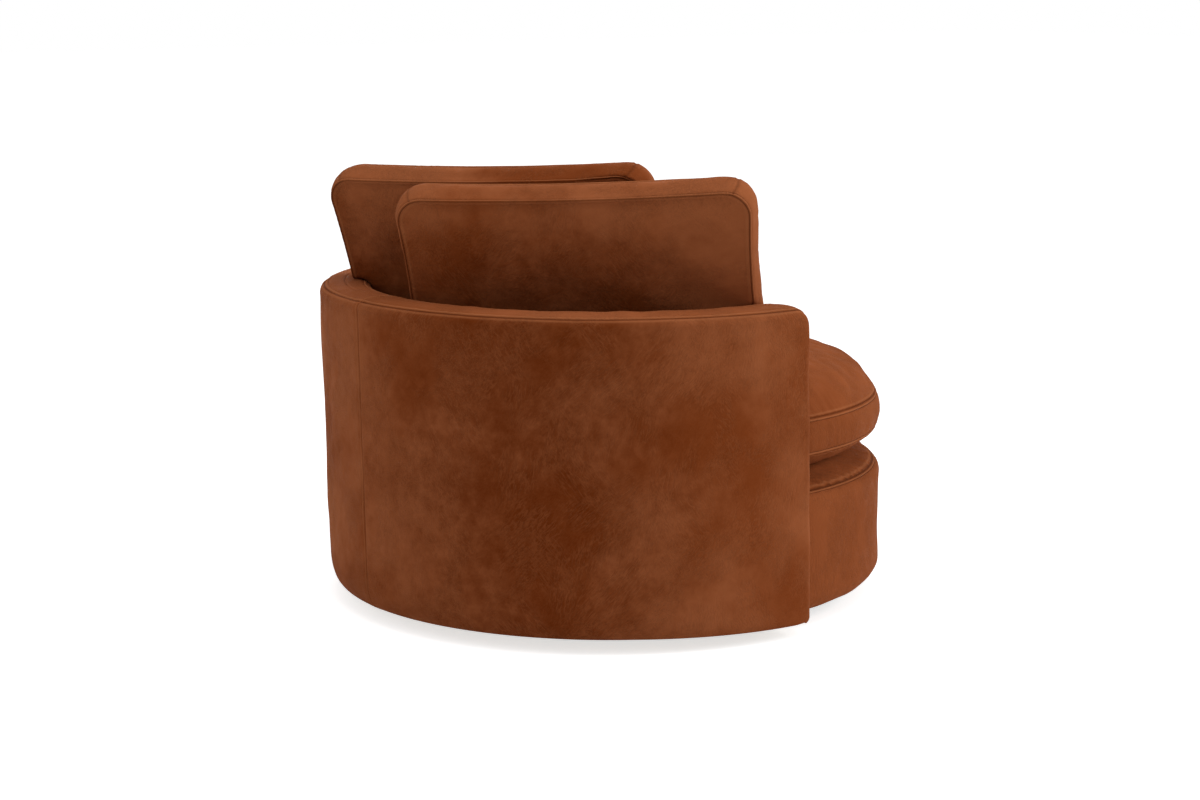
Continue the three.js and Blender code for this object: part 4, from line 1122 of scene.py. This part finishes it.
def stitch_tree():
    """Geometry nodes: beads of thread at an even pitch along every path."""
    tree = bpy.data.node_groups.new("stitch row", "GeometryNodeTree")
    tree.interface.new_socket("Geometry", in_out="INPUT", socket_type="NodeSocketGeometry")
    for name in ("Pitch", "Length", "Radius"):
        tree.interface.new_socket(name, in_out="INPUT", socket_type="NodeSocketFloat")
    tree.interface.new_socket("Geometry", in_out="OUTPUT", socket_type="NodeSocketGeometry")
    given = tree.nodes.new("NodeGroupInput").outputs
    points = place(tree, "GeometryNodeCurveToPoints", {
        "Curve": given["Geometry"], "Length": given["Pitch"]}, mode="LENGTH")
    size = place(tree, "ShaderNodeCombineXYZ", {"X": given["Radius"], "Y": given["Radius"]})
    half = place(tree, "ShaderNodeMath", {0: given["Length"], 1: 0.5}, operation="MULTIPLY")
    tree.links.new(half.outputs[0], size.inputs["Z"])
    bead = place(tree, "GeometryNodeMeshUVSphere", {"Segments": 6, "Rings": 5, "Radius": 1.0})
    heading = place(tree, "FunctionNodeAlignRotationToVector", {
        "Vector": points.outputs["Tangent"]}, axis="Z")
    stitches = place(tree, "GeometryNodeInstanceOnPoints", {
        "Points": points.outputs["Points"], "Instance": bead.outputs["Mesh"],
        "Rotation": heading.outputs["Rotation"], "Scale": size.outputs["Vector"],
    })
    solid = place(tree, "GeometryNodeRealizeInstances", {"Geometry": stitches.outputs["Instances"]})
    dressed = place(tree, "GeometryNodeSetMaterial", {
        "Geometry": solid.outputs["Geometry"], "Material": thread})
    result = tree.nodes.new("NodeGroupOutput")
    tree.links.new(dressed.outputs["Geometry"], result.inputs["Geometry"])
    return tree


def grown(tree, piece, **values):
    """Runs a geometry node tree on a piece once, and returns the plain mesh object."""
    modifier = piece.modifiers.new("growth", "NODES")
    modifier.node_group = tree
    for socket in tree.interface.items_tree:
        if socket.in_out == "INPUT" and socket.name in values:
            modifier[socket.identifier] = values[socket.name]
    bpy.context.view_layer.update()
    mesh = bpy.data.meshes.new_from_object(piece.evaluated_get(bpy.context.evaluated_depsgraph_get()))
    piece.modifiers.remove(modifier)
    name = piece.name
    bpy.data.objects.remove(piece)
    return put_in_scene(name, mesh)


stitches_along = stitch_tree()
for body, paths in stitch_rows.items():
    curve = bpy.data.curves.new(f"{body}_paths", "CURVE")
    curve.dimensions = "3D"
    for path in paths:
        spline = curve.splines.new("POLY")
        spline.points.add(len(path) - 1)
        spline.points.foreach_set("co", np.column_stack([path, np.ones(len(path))]).ravel())
    row = grown(stitches_along, put_in_scene(f"{body}_topstitching", curve),
                Pitch=stitch_pitch, Length=stitch_length, Radius=thread_radius)
    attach(row, body)


# Dust cover
# A disc of black non-woven cloth stapled to the underside of the bottom board, round the swivel.
# It sags a little between its edges, and is drawn up at each staple.
dust_low, dust_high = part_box("dust_cover")
dust_outside = (dust_high.x - dust_low.x) / 2
dust_inside = 0.153
dust_sides = 192
dust_thickness = 0.0005
dust_sag = 0.0035
staple_count = 56
staple_pull = 0.0006

cloth, tree, surface, where = new_material("dust_cloth", roughness=0.95)
dots = place(tree, "ShaderNodeTexVoronoi", {"Vector": where, "Scale": 420.0}).outputs["Distance"]
fibres = noise(tree, where, 900, detail=4)
colour = shades(tree, fibres, (0.3, (0.012, 0.012, 0.013)), (0.7, (0.035, 0.034, 0.034)))
coat(tree, surface, colour, dots, 0.0003)

turns = np.arange(dust_sides) / dust_sides * 2 * math.pi
circle = np.column_stack([np.sin(turns), np.cos(turns)])
rows = []
for share in np.linspace(0, 1, 30):
    plan = dust_inside * circle * (1 - share) + (drum_centre + dust_outside * circle) * share
    sag = dust_sag * math.sin(math.pi * share) + staple_pull * np.sin(turns * staple_count) * share ** 6
    rows.append(np.column_stack([plan, dust_high.z - staple_pull - sag]))
dust = grid_object("dust_cloth_sheet", np.array(rows), outward=-1, ring=True)
thicken(dust, dust_thickness)
dust.data.materials.append(cloth)
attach(dust, "tub")
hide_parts("dust_cover")


# Studio
# A pale floor and a soft white surround, with three round lamps: one above, a strong one in front
# of the chair and a weak one behind it. The camera stands where the photograph was taken from.
def seen_directly(tree):
    """1 for a ray from the camera, a reflection or a pane of glass, and 0 for the light on the object."""
    ray = place(tree, "ShaderNodeLightPath").outputs
    seen = ray["Is Camera Ray"]
    for kind in ("Is Glossy Ray", "Is Transmission Ray"):
        seen = place(tree, "ShaderNodeMath", {0: seen, 1: ray[kind]}, operation="MAXIMUM").outputs[0]
    return seen


pale, tree, surface, where = new_material("pale_floor", roughness=0.9)
surface.inputs["Base Color"].default_value = (0.93, 0.93, 0.93, 1)
surface.inputs["Specular IOR Level"].default_value = 0.0
glow = place(tree, "ShaderNodeEmission", {"Color": (0.64, 0.64, 0.64, 1), "Strength": seen_directly(tree)})
both = place(tree, "ShaderNodeAddShader", {0: surface.outputs[0], 1: glow.outputs[0]})
tree.links.new(both.outputs[0], tree.nodes["Material Output"].inputs["Surface"])
floor_half = 30.0
corners = [(x * floor_half, y * floor_half, 0) for x, y in ((-1, -1), (1, -1), (1, 1), (-1, 1))]
floor_mesh = bpy.data.meshes.new("studio_floor")
floor_mesh.from_pydata(corners, [], [(0, 1, 2, 3)])
floor_mesh.materials.append(pale)
put_in_scene("studio_floor", floor_mesh)

ambient = 0.55
world = bpy.data.worlds.new("studio_surround")
bpy.context.scene.world = world
world.use_nodes = True
air = world.node_tree
background = air.nodes["Background"]
background.inputs["Color"].default_value = (1, 1, 1, 1)
strength = spread(air, seen_directly(air), 0.0, 1.0, ambient, 1.0)
air.links.new(strength, background.inputs["Strength"])

lamp_target = Vector((0, 0, 0.4))
for name, place_at, size, power in (("overhead_softbox", (-0.6, 0.2, 3.4), 3.0, 35.5),
                                    ("front_softbox", (-2.8, -3.3, 2.2), 2.4, 76),
                                    ("back_softbox", (2.2, 3.7, 2.0), 2.4, 12)):
    light = bpy.data.lights.new(name, "AREA")
    light.shape = "DISK"
    light.size = size
    light.energy = power
    lamp = put_in_scene(name, light)
    lamp.location = place_at
    lamp.rotation_euler = (lamp_target - lamp.location).to_track_quat("-Z", "Y").to_euler()

camera_data = bpy.data.cameras.new("photo_camera")
camera_data.lens = 75
camera_data.sensor_width = 36
camera = put_in_scene("photo_camera", camera_data)
camera.location = (-4.416, 3.1025, 1.3701)
camera.rotation_euler = (math.radians(90 - 10.074), 0, math.radians(235))
bpy.context.scene.camera = camera
bpy.context.scene.view_settings.view_transform = "Standard"
